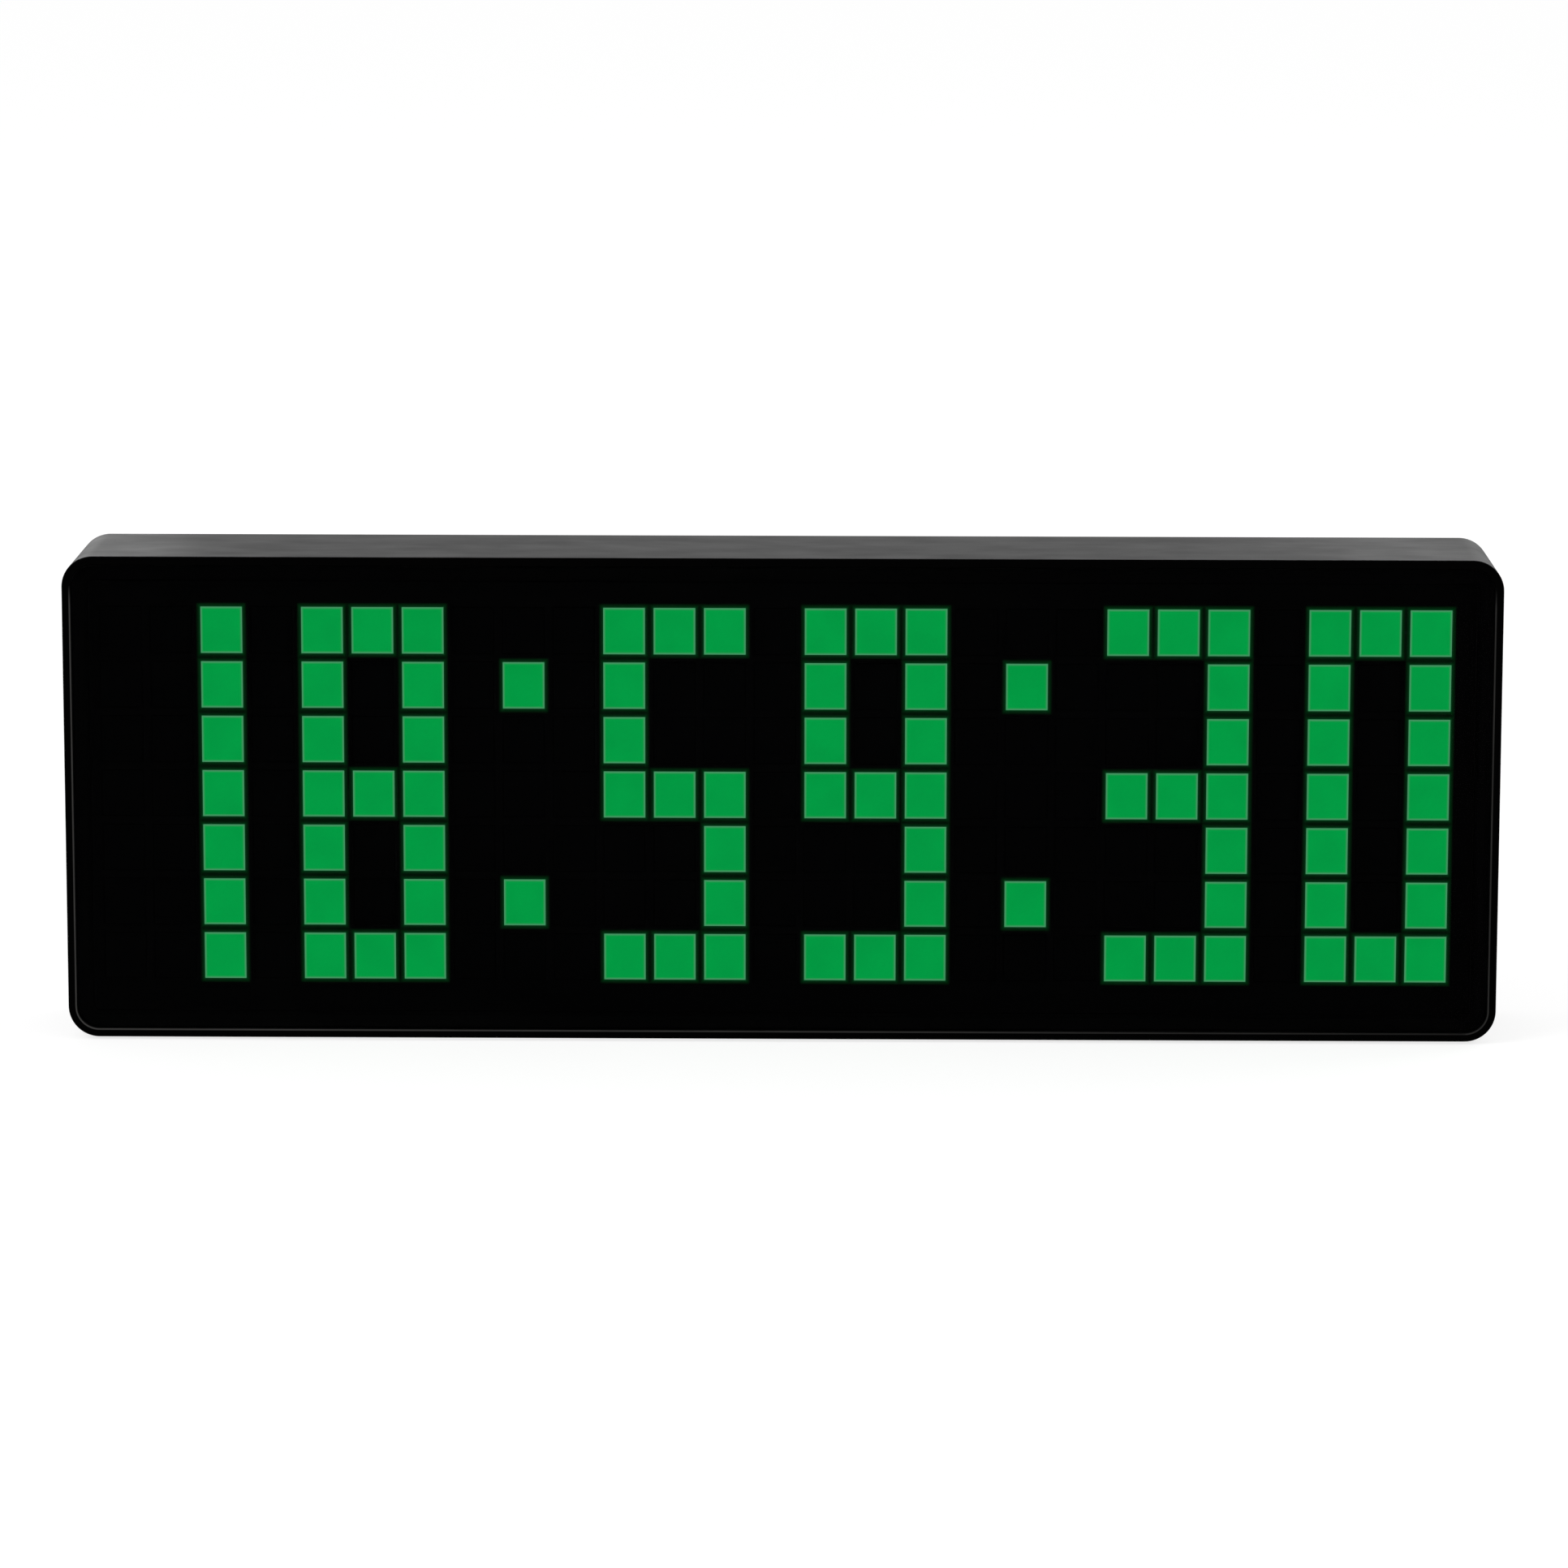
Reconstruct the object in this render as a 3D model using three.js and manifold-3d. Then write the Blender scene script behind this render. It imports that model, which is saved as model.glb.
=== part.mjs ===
// A desk clock with a wide black face, on which lit square pixels show hours, minutes and seconds.
// The case is a moulded tube with a dark window in front and a screwed cover behind. Between them
// lie a light grid, translucent tiles, a board with one lamp per pixel, and the main board.
// Lengths are millimetres. The pieces are written face up: x to the right, y up the face, z towards
// the viewer. One group then stands them upright, with the face towards -Y and the feet on Z = 0.

import * as THREE from 'three';
import { mergeVertices } from 'three/addons/utils/BufferGeometryUtils.js';
import Module from 'manifold-3d';

const wasm = await Module();
wasm.setup();

// Case: a moulded tube with rounded corners and a thin rim round the window
const caseWidth = 300;
const caseHeight = 102;
const caseDepth = 36;
const caseCornerRadius = 6.5;
const caseEdgeChamfer = 0.5;
const wallThickness = 3;
const rimWidth = 1.8;
const ledgeWidth = 3.4;
const ledgeThickness = 2;
const rearRimWidth = 1.7;

// Gaps between pieces: at rest on each other, round a piece in its recess, round a moving piece
const seatGap = 0.2;
const fitGap = 0.25;
const runningGap = 0.3;

// Overrun of every cut past the face that it opens, and the root of every rib in its carrier
const overrun = 1;
const rootDepth = 0.4;
const weldDistance = 0.0001;

// Window and the adhesive strip that holds it on the ledge
const windowThickness = 2;
const windowChamfer = 0.3;
const tapeThickness = 0.4;
const tapeWidth = 2.4;

// Pixel field: the margins from the case's outside to the first and last pixels, and the ribs
const pixelColumns = 27;
const pixelRows = 7;
const leftMargin = 7.7;
const rightMargin = 10.5;
const topMargin = 10.7;
const bottomMargin = 12.3;
const columnRib = 1.78;
const rowRib = 1.71;

// Light grid and the translucent tiles that fill it
const gridDepth = 7;
const gridSkirtThickness = 1.6;
const tileSideGap = 0.15;
const webThickness = 1;
const plateThickness = 1;
const plateMargin = 0.5;
const colonStripWidth = 1.1;

// Lamp board
const lampSize = 3.5;
const lampHeight = 1.6;
const lampBoardThickness = 1.6;
const driverLength = 15.4;
const driverWidth = 7.5;
const driverHeight = 2.4;
const driverX = -20;
const driverPitch = 80;

// Posts of the case: tall ones for the rear cover, short ones for the lamp board
const postInset = 6.6;
const postGap = 0.4;
const postRibThickness = 1.6;
const coverPostRadius = 2.8;
const coverPostEndInset = 12;
const boardPostRadius = 2.6;
const boardPostPlace = 69;

// Rear cover
const coverThickness = 2.6;
const coverBossRadius = 3.3;
const coverScrewPocketDepth = 2;
const coverScrewFloor = 1.6;
const ventCount = 7;
const ventPitch = 4.2;
const ventWidth = 1.8;
const ventHeight = 22;
const ventPlace = 104;
const soundHoleRadius = 0.9;
const soundHoleRing = 3.6;
const soundHoleCount = 6;

// Main board, on the rear cover's four posts
const mainBoardWidth = 120;
const mainBoardHeight = 50;
const mainBoardThickness = 1.6;
const mainBoardCornerRadius = 2;
const mainBoardDrop = 10;
const mainBoardStandoff = 6.4;
const mainPostRadius = 2.5;
const mainPostEdgeInset = 5;

// Screws: self-tapping, with pan heads and cross recesses
const coverScrewHeadRadius = 2.3;
const coverScrewHeadHeight = 1.6;
const coverScrewShankRadius = 1.3;
const coverScrewShankLength = 12;
const boardScrewHeadRadius = 1.9;
const boardScrewHeadHeight = 1.3;
const boardScrewShankRadius = 0.95;
const boardScrewShankLength = 6;
const batteryScrewHeadHeight = 0.8;
const batteryScrewShankLength = 4.5;
const screwHoleGap = 0.2;
const screwTipGap = 1;
const screwDomeShare = 0.7;
const crossWidthShare = 0.26;
const crossLengthShare = 1.2;
const crossDepthShare = 0.55;

// Push buttons and the dome switches that they press
const buttonPitch = 15;
const buttonRowX = -12;
const buttonRowInset = 8;
const buttonRadius = 3.6;
const buttonCollarRadius = 4.8;
const buttonCollarThickness = 1;
const buttonStemRadius = 1.4;
const buttonStemReach = 0.4;
const buttonChamfer = 0.3;
const buttonTravel = 0.8;
const buttonPanelDepth = 1;
const buttonPanelMargin = 4;
const switchWidth = 6;
const switchHeight = 3.5;
const switchWellSpare = 0.4;

// Back-up cell, its holder and spring contact, and the cover over them
const cellInset = 24;
const cellDrop = 23;
const cellRadius = 10;
const cellThickness = 3.2;
const cellCapRadius = 8.8;
const cellCapHeight = 0.6;
const cellHolderWall = 1.3;
const cellHolderFloor = 1;
const cellHolderWallHeight = 3.9;
const cellHolderNotchWidth = 7;
const cellContactWidth = 5;
const cellContactThickness = 0.4;
const cellContactReach = 3.5;
const batteryCoverWidth = 36;
const batteryCoverHeight = 28;
const batteryCoverThickness = 1.6;
const batteryCoverCornerRadius = 2.5;
const batteryCoverShift = 3.5;
const batteryOpeningMargin = 2;
const batteryScrewEdgeInset = 4.5;
const batteryScrewPocketDepth = 1.1;
const batteryBossRadius = 2.5;
const batteryBossHeight = 4.4;

// Power socket
const socketSideInset = 14;
const socketLowerInset = 8;
const socketWidth = 8.9;
const socketHeight = 3.2;
const socketShell = 0.35;
const socketTongueWidth = 6.4;
const socketTongueHeight = 0.7;
const socketRecessMargin = 2.2;
const socketRecessDepth = 0.8;
const socketRoundShare = 0.48;

// Parts on the main board's rear side
const buzzerX = 14;
const buzzerRadius = 6;
const buzzerHeight = 5.4;
const buzzerHoleRadius = 1;
const buzzerHoleDepth = 1.5;
const capacitorInset = 26;
const capacitorRadius = 3.2;
const capacitorHeight = 5.4;
const capacitorBaseHeight = 0.8;
const capacitorGrooveDepth = 0.3;

// Parts on the main board's front side
const chipStandoffShare = 0.12;
const chipLegShare = 0.45;
const chipLegHeightShare = 0.45;
const chipLegReachShare = 0.1;
const controllerX = -14;
const controllerY = 2;
const controllerSize = 10;
const controllerHeight = 1.4;
const controllerLegs = 7;
const clockChipX = 6;
const clockChipY = 6;
const clockChipLength = 5;
const clockChipWidth = 4;
const clockChipHeight = 1.5;
const clockChipLegs = 4;
const crystalX = 6;
const crystalY = -2;
const crystalRadius = 1.5;
const crystalLength = 8;
const connectorSideInset = 22;
const connectorUpperInset = 17;
const connectorWidth = 6;
const connectorLength = 18;
const connectorHeight = 3.7;
const connectorHeaderShare = 0.55;
const connectorPlugShare = 0.8;

// Ribbon lead between the two boards
const ribbonSpan = 40;
const ribbonWidth = 13;
const ribbonThickness = 0.9;
const ribbonEdgeInset = 0.2;
const ribbonSteps = 12;

// Feet
const footRadius = 4.7;
const footProud = 0.6;
const footRecessDepth = 1;
const footInsetX = 25;
const footInsetZ = 8;

// Facets of round pieces
const cornerFacets = 5;
const roundFacets = 16;
const smallFacets = 8;

// Depths of the pieces, from the front plane to the back plane
const frontZ = caseDepth / 2;
const windowBackZ = frontZ - windowThickness;
const tapeFrontZ = windowBackZ - seatGap;
const tapeBackZ = tapeFrontZ - tapeThickness;
const ledgeFrontZ = tapeBackZ - seatGap;
const ledgeBackZ = ledgeFrontZ - ledgeThickness;
const gridFrontZ = windowBackZ - seatGap;
const gridBackZ = gridFrontZ - gridDepth;
const webFrontZ = gridBackZ - seatGap;
const webBackZ = webFrontZ - webThickness;
const plateFrontZ = webBackZ - seatGap;
const plateBackZ = plateFrontZ - plateThickness;
const lampFrontZ = plateBackZ - seatGap;
const lampBoardFrontZ = lampFrontZ - lampHeight;
const lampBoardBackZ = lampBoardFrontZ - lampBoardThickness;
const backZ = -caseDepth / 2;
const coverInnerZ = backZ + coverThickness;
const caseStepZ = coverInnerZ + seatGap;
const mainPostEndZ = coverInnerZ + mainBoardStandoff;
const mainBoardBackZ = mainPostEndZ + seatGap;
const mainBoardFrontZ = mainBoardBackZ + mainBoardThickness;
const screwPocketZ = backZ + coverScrewPocketDepth;
const coverBossEndZ = screwPocketZ + coverScrewFloor;
const coverPostEndZ = coverBossEndZ + seatGap;
const coverScrewSeatZ = screwPocketZ - seatGap;
const boardScrewSeatZ = lampBoardBackZ - seatGap;
const boardPostEndZ = lampBoardFrontZ + seatGap;
const rearPartsZ = mainBoardBackZ - seatGap;
const switchRearZ = rearPartsZ - switchHeight;
const cellHolderFloorZ = rearPartsZ - cellHolderFloor;
const cellRearZ = cellHolderFloorZ - seatGap - cellThickness;
const batteryScrewSeatZ = backZ + batteryScrewPocketDepth - seatGap;

// Places across the face
const ledgeInset = rimWidth + ledgeWidth;
const fieldLeft = -caseWidth / 2 + leftMargin;
const fieldTop = caseHeight / 2 - topMargin;
const fieldWidth = caseWidth - leftMargin - rightMargin;
const fieldHeight = caseHeight - topMargin - bottomMargin;
const columnPitch = (fieldWidth + columnRib) / pixelColumns;
const rowPitch = (fieldHeight + rowRib) / pixelRows;
const pixelWidth = columnPitch - columnRib;
const pixelHeight = rowPitch - rowRib;
const coverPostX = caseWidth / 2 - coverPostEndInset;
const postY = caseHeight / 2 - postInset;
const mainPostX = mainBoardWidth / 2 - mainPostEdgeInset;
const mainPostY = mainBoardHeight / 2 - mainPostEdgeInset;
const coverPosts = gridOfPlaces([-coverPostX, 0, coverPostX], [-postY, postY]);
const boardPosts = gridOfPlaces([-boardPostPlace, boardPostPlace], [-postY, postY]);
const mainPosts = gridOfPlaces([-mainPostX, mainPostX], [-mainPostY, mainPostY]);
const displayInset = wallThickness + fitGap;
const skirtInset = displayInset + gridSkirtThickness;
const buttonRowY = mainBoardHeight / 2 - buttonRowInset;
const cellX = cellInset - mainBoardWidth / 2;
const cellY = buttonRowY - cellDrop;
const buzzerY = cellY;
const socketX = mainBoardWidth / 2 - socketSideInset;
const socketY = socketLowerInset - mainBoardHeight / 2;
const connectorX = mainBoardWidth / 2 - connectorSideInset;
const connectorY = mainBoardHeight / 2 - connectorUpperInset;
const capacitorX = mainBoardWidth / 2 - capacitorInset;
const capacitorY = connectorY;
const batteryCoverX = cellX - batteryCoverShift;
const batteryScrewX = batteryCoverX - batteryCoverWidth / 2 + batteryScrewEdgeInset;
const ribbonStartX = connectorX + connectorWidth / 2 + seatGap;
const lampConnectorX = ribbonStartX + ribbonSpan + seatGap + connectorWidth / 2;
const buttonNames = ['alarm', 'down', 'up', 'set'];
const buttonPlaces = buttonNames.map((name, index) => {
  return [buttonRowX + (index - (buttonNames.length - 1) / 2) * buttonPitch, buttonRowY];
});
const footX = caseWidth / 2 - footInsetX;
const footZ = caseDepth / 2 - footInsetZ;
const footPlaces = gridOfPlaces([-footX, footX], [-footZ, footZ]);

// Characters as rows of marks, from the top row down: a hash is a lit pixel
const full = '###';
const sides = '# #';
const left = '#  ';
const right = '  #';
const dot = '#';
const blank = ' ';
const digitRows = {
  0: [full, sides, sides, sides, sides, sides, full],
  1: [right, right, right, right, right, right, right],
  3: [full, right, right, full, right, right, full],
  5: [full, left, left, full, right, right, full],
  8: [full, sides, sides, full, sides, sides, full],
  9: [full, sides, sides, full, right, right, full],
};
const colonRows = [blank, dot, blank, blank, blank, dot, blank];
const shownTime = [
  { name: 'tiles_hours_tens', rows: digitRows[1] },
  { name: 'tiles_hours_units', rows: digitRows[8] },
  { name: 'tiles_colon_left', rows: colonRows },
  { name: 'tiles_minutes_tens', rows: digitRows[5] },
  { name: 'tiles_minutes_units', rows: digitRows[9] },
  { name: 'tiles_colon_right', rows: colonRows },
  { name: 'tiles_seconds_tens', rows: digitRows[3] },
  { name: 'tiles_seconds_units', rows: digitRows[0] },
];

// Finishes
const finishes = {
  casePlastic: { color: 0x1b1b1d, roughness: 0.42, metalness: 0 },
  smokedWindow: { color: 0x040505, roughness: 0.1, metalness: 0, transparent: true, opacity: 0.35 },
  tape: { color: 0x121212, roughness: 0.9, metalness: 0 },
  gridPlastic: { color: 0x0b0b0b, roughness: 0.75, metalness: 0 },
  darkTile: { color: 0x0d0f0d, roughness: 0.6, metalness: 0 },
  litTile: { color: 0x059843, roughness: 0.5, metalness: 0, emissive: 0x059843 },
  lampBoard: { color: 0x14181a, roughness: 0.55, metalness: 0 },
  mainBoard: { color: 0x1c4a2c, roughness: 0.5, metalness: 0 },
  chip: { color: 0x17181a, roughness: 0.6, metalness: 0 },
  connector: { color: 0xe6e2d6, roughness: 0.5, metalness: 0 },
  ribbon: { color: 0x8c9096, roughness: 0.55, metalness: 0 },
  steel: { color: 0xb9bcc0, roughness: 0.3, metalness: 1 },
  blackSteel: { color: 0x2a2a2c, roughness: 0.4, metalness: 1 },
  buttonPlastic: { color: 0x2b2c2f, roughness: 0.5, metalness: 0 },
  rubber: { color: 0x151515, roughness: 0.85, metalness: 0 },
};

// Joining and cutting

function solidOf(geometry) {
  geometry.deleteAttribute('normal');
  geometry.deleteAttribute('uv');
  const merged = mergeVertices(geometry, weldDistance);
  const corners = Array.from(merged.index.array);
  const triVerts = [];
  for (let first = 0; first < corners.length; first += 3) {
    const triangle = corners.slice(first, first + 3);
    if (new Set(triangle).size === 3) triVerts.push(...triangle);
  }
  const vertProperties = new Float32Array(merged.attributes.position.array);
  const mesh = new wasm.Mesh({ numProp: 3, vertProperties, triVerts: new Uint32Array(triVerts) });
  return new wasm.Manifold(mesh);
}

function geometryOf(solid) {
  const { vertProperties, triVerts } = solid.getMesh();
  const geometry = new THREE.BufferGeometry();
  geometry.setAttribute('position', new THREE.BufferAttribute(vertProperties, 3));
  geometry.setIndex(new THREE.BufferAttribute(triVerts, 1));
  geometry.computeVertexNormals();
  return geometry;
}

// Basic forms, each between two depths

function gridOfPlaces(acrossPlaces, upPlaces) {
  return upPlaces.flatMap((y) => acrossPlaces.map((x) => [x, y]));
}

function roundedOutline(width, height, radius) {
  const across = width / 2 - radius;
  const up = height / 2 - radius;
  const outline = new THREE.Shape();
  outline.absarc(across, up, radius, 0, Math.PI / 2);
  outline.absarc(-across, up, radius, Math.PI / 2, Math.PI);
  outline.absarc(-across, -up, radius, Math.PI, 1.5 * Math.PI);
  outline.absarc(across, -up, radius, 1.5 * Math.PI, 2 * Math.PI);
  outline.closePath();
  return outline;
}

function slab(width, height, radius, rearZ, nearZ, place = [0, 0]) {
  const depth = nearZ - rearZ;
  const options = { depth, bevelEnabled: false, curveSegments: cornerFacets };
  const geometry = new THREE.ExtrudeGeometry(roundedOutline(width, height, radius), options);
  return solidOf(geometry.translate(place[0], place[1], rearZ));
}

function chamferedSlab(width, height, radius, rearZ, nearZ, chamfer) {
  const options = {
    depth: nearZ - rearZ - 2 * chamfer,
    bevelThickness: chamfer,
    bevelSize: chamfer,
    bevelOffset: -chamfer,
    bevelSegments: 1,
    curveSegments: cornerFacets,
  };
  const geometry = new THREE.ExtrudeGeometry(roundedOutline(width, height, radius), options);
  return solidOf(geometry.translate(0, 0, rearZ + chamfer));
}

// A slab that follows the case's outline at a distance inside it
function caseSlab(inset, rearZ, nearZ) {
  const radius = Math.max(caseCornerRadius - inset, rootDepth);
  return slab(caseWidth - 2 * inset, caseHeight - 2 * inset, radius, rearZ, nearZ);
}

function block(lowCorner, highCorner) {
  const size = highCorner.map((high, axis) => high - lowCorner[axis]);
  const middle = highCorner.map((high, axis) => (high + lowCorner[axis]) / 2);
  return solidOf(new THREE.BoxGeometry(...size).translate(...middle));
}

function blockAt(place, width, height, rearZ, nearZ) {
  const [x, y] = place;
  return block([x - width / 2, y - height / 2, rearZ], [x + width / 2, y + height / 2, nearZ]);
}

function rod(place, radius, rearZ, nearZ, facets = roundFacets) {
  const geometry = new THREE.CylinderGeometry(radius, radius, nearZ - rearZ, facets);
  geometry.rotateX(Math.PI / 2).translate(place[0], place[1], (nearZ + rearZ) / 2);
  return solidOf(geometry);
}

// A turned form: its profile runs from the lowest depth on the axis to the highest
function turned(profile, facets = roundFacets) {
  const points = profile.map(([radius, z]) => new THREE.Vector2(radius, z));
  return solidOf(new THREE.LatheGeometry(points, facets).rotateX(Math.PI / 2));
}

// Slots that let the case's posts pass through a piece of the display stack
function cutPostSlots(solid, posts, postRadius, rearZ, nearZ) {
  const halfWidth = postRadius + postGap;
  for (const [x, y] of posts) {
    const edge = Math.sign(y) * (caseHeight / 2 + overrun);
    const low = [x - halfWidth, Math.min(y, edge), rearZ];
    const high = [x + halfWidth, Math.max(y, edge), nearZ];
    const roundEnd = rod([x, y], halfWidth, rearZ, nearZ, smallFacets);
    solid = solid.subtract(block(low, high)).subtract(roundEnd);
  }
  return solid;
}

// Pixel places, counted from the top left corner of the face

function pixelCentre(column, row) {
  const x = fieldLeft + pixelWidth / 2 + column * columnPitch;
  const y = fieldTop - pixelHeight / 2 - row * rowPitch;
  return [x, y];
}

function litPixels(rows, start) {
  return rows.flatMap((marks, row) => {
    return [...marks].flatMap((mark, column) => (mark === '#' ? [[start + column, row]] : []));
  });
}

// Each character takes its own columns and one dark column after it
function litCharacters() {
  let start = 0;
  return shownTime.map(({ name, rows }) => {
    const pixels = litPixels(rows, start);
    start += rows[0].length + 1;
    return { name, pixels };
  });
}

const characters = litCharacters();
const litKeys = new Set(characters.flatMap(({ pixels }) => pixels.map(String)));
const allPixels = Array.from({ length: pixelColumns * pixelRows }, (unused, index) => {
  return [index % pixelColumns, Math.floor(index / pixelColumns)];
});

// Case

function addPost(solid, [x, y], radius, endZ) {
  const wallY = Math.sign(y) * (caseHeight / 2 - wallThickness + rootDepth);
  const low = [x - postRibThickness / 2, Math.min(y, wallY), endZ];
  const high = [x + postRibThickness / 2, Math.max(y, wallY), ledgeBackZ + rootDepth];
  const post = rod([x, y], radius, endZ, ledgeBackZ + rootDepth, smallFacets);
  return solid.add(post).add(block(low, high));
}

function caseSolid() {
  let solid = chamferedSlab(caseWidth, caseHeight, caseCornerRadius, backZ, frontZ, caseEdgeChamfer);
  solid = solid.subtract(caseSlab(rimWidth, ledgeFrontZ, frontZ + overrun));
  solid = solid.subtract(caseSlab(ledgeInset, ledgeBackZ - overrun, ledgeFrontZ + overrun));
  solid = solid.subtract(caseSlab(wallThickness, caseStepZ - overrun, ledgeBackZ));
  solid = solid.subtract(caseSlab(rearRimWidth, backZ - overrun, caseStepZ));
  for (const place of coverPosts) {
    const holeEndZ = coverScrewSeatZ + coverScrewShankLength + screwTipGap;
    const hole = rod(place, coverScrewShankRadius + screwHoleGap, backZ, holeEndZ, smallFacets);
    solid = addPost(solid, place, coverPostRadius, coverPostEndZ).subtract(hole);
  }
  for (const place of boardPosts) {
    const holeEndZ = boardScrewSeatZ + boardScrewShankLength + screwTipGap;
    const hole = rod(place, boardScrewShankRadius + screwHoleGap, backZ, holeEndZ, smallFacets);
    solid = addPost(solid, place, boardPostRadius, boardPostEndZ).subtract(hole);
  }
  for (const place of footPlaces) {
    solid = solid.subtract(footRod(place, footRadius + fitGap, overrun, footRecessDepth));
  }
  return solid;
}

// A round form that stands on the case's underside: a foot, or the recess that it sits in
function footRod([x, z], radius, below, above) {
  const geometry = new THREE.CylinderGeometry(radius, radius, above + below, roundFacets);
  return solidOf(geometry.translate(x, (above - below - caseHeight) / 2, z));
}

function footSolid(place) {
  return footRod(place, footRadius, footProud, footRecessDepth - seatGap);
}

// Window and its tape

function windowSolid() {
  const inset = rimWidth + seatGap;
  const width = caseWidth - 2 * inset;
  const height = caseHeight - 2 * inset;
  return chamferedSlab(width, height, caseCornerRadius - inset, windowBackZ, frontZ, windowChamfer);
}

function tapeSolid() {
  const inset = rimWidth + fitGap;
  const ring = caseSlab(inset, tapeBackZ, tapeFrontZ);
  return ring.subtract(caseSlab(inset + tapeWidth, tapeBackZ - overrun, tapeFrontZ + overrun));
}

// Light grid: a plate of windows, a lip behind the case's ledge, and a skirt down to the lamp board

function gridPlate(inset) {
  const rearZ = gridBackZ - overrun;
  const nearZ = gridFrontZ + overrun;
  let plate = caseSlab(inset, gridBackZ, gridFrontZ);
  for (const pixel of allPixels) {
    plate = plate.subtract(blockAt(pixelCentre(...pixel), pixelWidth, pixelHeight, rearZ, nearZ));
  }
  return plate;
}

function caseRing(outerInset, innerInset, rearZ, nearZ) {
  const hole = caseSlab(innerInset, rearZ - overrun, nearZ + overrun);
  return caseSlab(outerInset, rearZ, nearZ).subtract(hole);
}

function gridSolid() {
  const plateInset = ledgeInset + fitGap;
  const lip = caseRing(displayInset, plateInset + rootDepth, gridBackZ, ledgeBackZ - seatGap);
  const skirtEndZ = lampBoardFrontZ + seatGap;
  const skirt = caseRing(displayInset, skirtInset, skirtEndZ, gridBackZ + rootDepth);
  const solid = gridPlate(plateInset).add(lip).add(skirt);
  const slotEndZ = ledgeBackZ + rootDepth + seatGap;
  const slotted = cutPostSlots(solid, coverPosts, coverPostRadius, skirtEndZ - overrun, slotEndZ);
  return cutPostSlots(slotted, boardPosts, boardPostRadius, skirtEndZ - overrun, slotEndZ);
}

// Translucent tiles: blocks in the grid's windows, joined by thin webs behind its ribs

function tileBlock(pixel, rearZ) {
  const width = pixelWidth - 2 * tileSideGap;
  const height = pixelHeight - 2 * tileSideGap;
  return blockAt(pixelCentre(...pixel), width, height, rearZ, gridFrontZ);
}

function unlitTilesSolid() {
  const low = [fieldLeft - plateMargin, fieldTop - fieldHeight - plateMargin, plateBackZ];
  let solid = block(low, [fieldLeft + fieldWidth + plateMargin, fieldTop + plateMargin, plateFrontZ]);
  for (const pixel of allPixels) {
    if (!litKeys.has(String(pixel))) solid = solid.add(tileBlock(pixel, plateFrontZ - rootDepth));
  }
  return solid;
}

// A web from one lit tile to its lit neighbour on the right or below
function tileWeb(pixel, [column, row]) {
  const [x, y] = pixelCentre(...pixel);
  const [nextX, nextY] = pixelCentre(column, row);
  const halfWidth = nextX === x ? pixelWidth / 2 - tileSideGap : 0;
  const halfHeight = nextY === y ? pixelHeight / 2 - tileSideGap : 0;
  const low = [x - halfWidth, nextY - halfHeight, webBackZ];
  return block(low, [nextX + halfWidth, y + halfHeight, webFrontZ]);
}

// The strip behind the rib beside a colon, from its upper tile to its lower one
function colonStrip([upper, lower]) {
  const [x, upperY] = pixelCentre(...upper);
  const lowerY = pixelCentre(...lower)[1];
  const ribX = x + (pixelWidth + columnRib) / 2;
  const stripRightX = ribX + colonStripWidth / 2;
  const tileRightX = x + pixelWidth / 2 - tileSideGap - rootDepth;
  const low = [ribX - colonStripWidth / 2, lowerY - colonStripWidth, webBackZ];
  let strip = block(low, [stripRightX, upperY + colonStripWidth, webFrontZ]);
  for (const y of [upperY, lowerY]) {
    const stub = [tileRightX, y - colonStripWidth, webBackZ];
    strip = strip.add(block(stub, [stripRightX, y + colonStripWidth, webFrontZ]));
  }
  return strip;
}

function litTilesSolid(name, pixels) {
  let solid = tileBlock(pixels[0], webBackZ);
  for (const pixel of pixels) {
    const [column, row] = pixel;
    solid = solid.add(tileBlock(pixel, webBackZ));
    for (const neighbour of [[column + 1, row], [column, row + 1]]) {
      if (litKeys.has(String(neighbour))) solid = solid.add(tileWeb(pixel, neighbour));
    }
  }
  return name.includes('colon') ? solid.add(colonStrip(pixels)) : solid;
}

// Lamp board: the circuit board with a square lamp behind each pixel

function lampBoardSolid() {
  let solid = caseSlab(displayInset, lampBoardBackZ, lampBoardFrontZ);
  const cutStart = lampBoardBackZ - overrun;
  solid = cutPostSlots(solid, coverPosts, coverPostRadius, cutStart, lampBoardFrontZ + overrun);
  for (const place of boardPosts) {
    const radius = boardScrewShankRadius + screwHoleGap;
    solid = solid.subtract(rod(place, radius, cutStart, lampBoardFrontZ + overrun, smallFacets));
  }
  for (const pixel of allPixels) {
    const rearZ = lampBoardFrontZ - rootDepth;
    solid = solid.add(blockAt(pixelCentre(...pixel), lampSize, lampSize, rearZ, lampFrontZ));
  }
  return solid;
}

// A chip with its legs, standing on the depth 0 and rising from the board
function chipSolid(length, width, height, legsPerSide) {
  const legPitch = length / legsPerSide;
  const bodyRearZ = height * chipStandoffShare;
  let solid = blockAt([0, 0], length, width, bodyRearZ, height);
  for (let leg = 0; leg < legsPerSide; leg += 1) {
    const x = (leg + 0.5) * legPitch - length / 2;
    const reach = width * (1 + 2 * chipLegReachShare);
    solid = solid.add(blockAt([x, 0], legPitch * chipLegShare, reach, 0, height * chipLegHeightShare));
  }
  return solid;
}

// A header with its plug pushed in, standing on the depth 0
function connectorSolid() {
  const headerHeight = connectorHeight * connectorHeaderShare;
  const plugWidth = connectorWidth * connectorPlugShare;
  const header = blockAt([0, 0], connectorWidth, connectorLength, 0, headerHeight);
  const plugLength = connectorLength - connectorWidth + plugWidth;
  return header.add(blockAt([0, 0], plugWidth, plugLength, headerHeight - rootDepth, connectorHeight));
}

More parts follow.
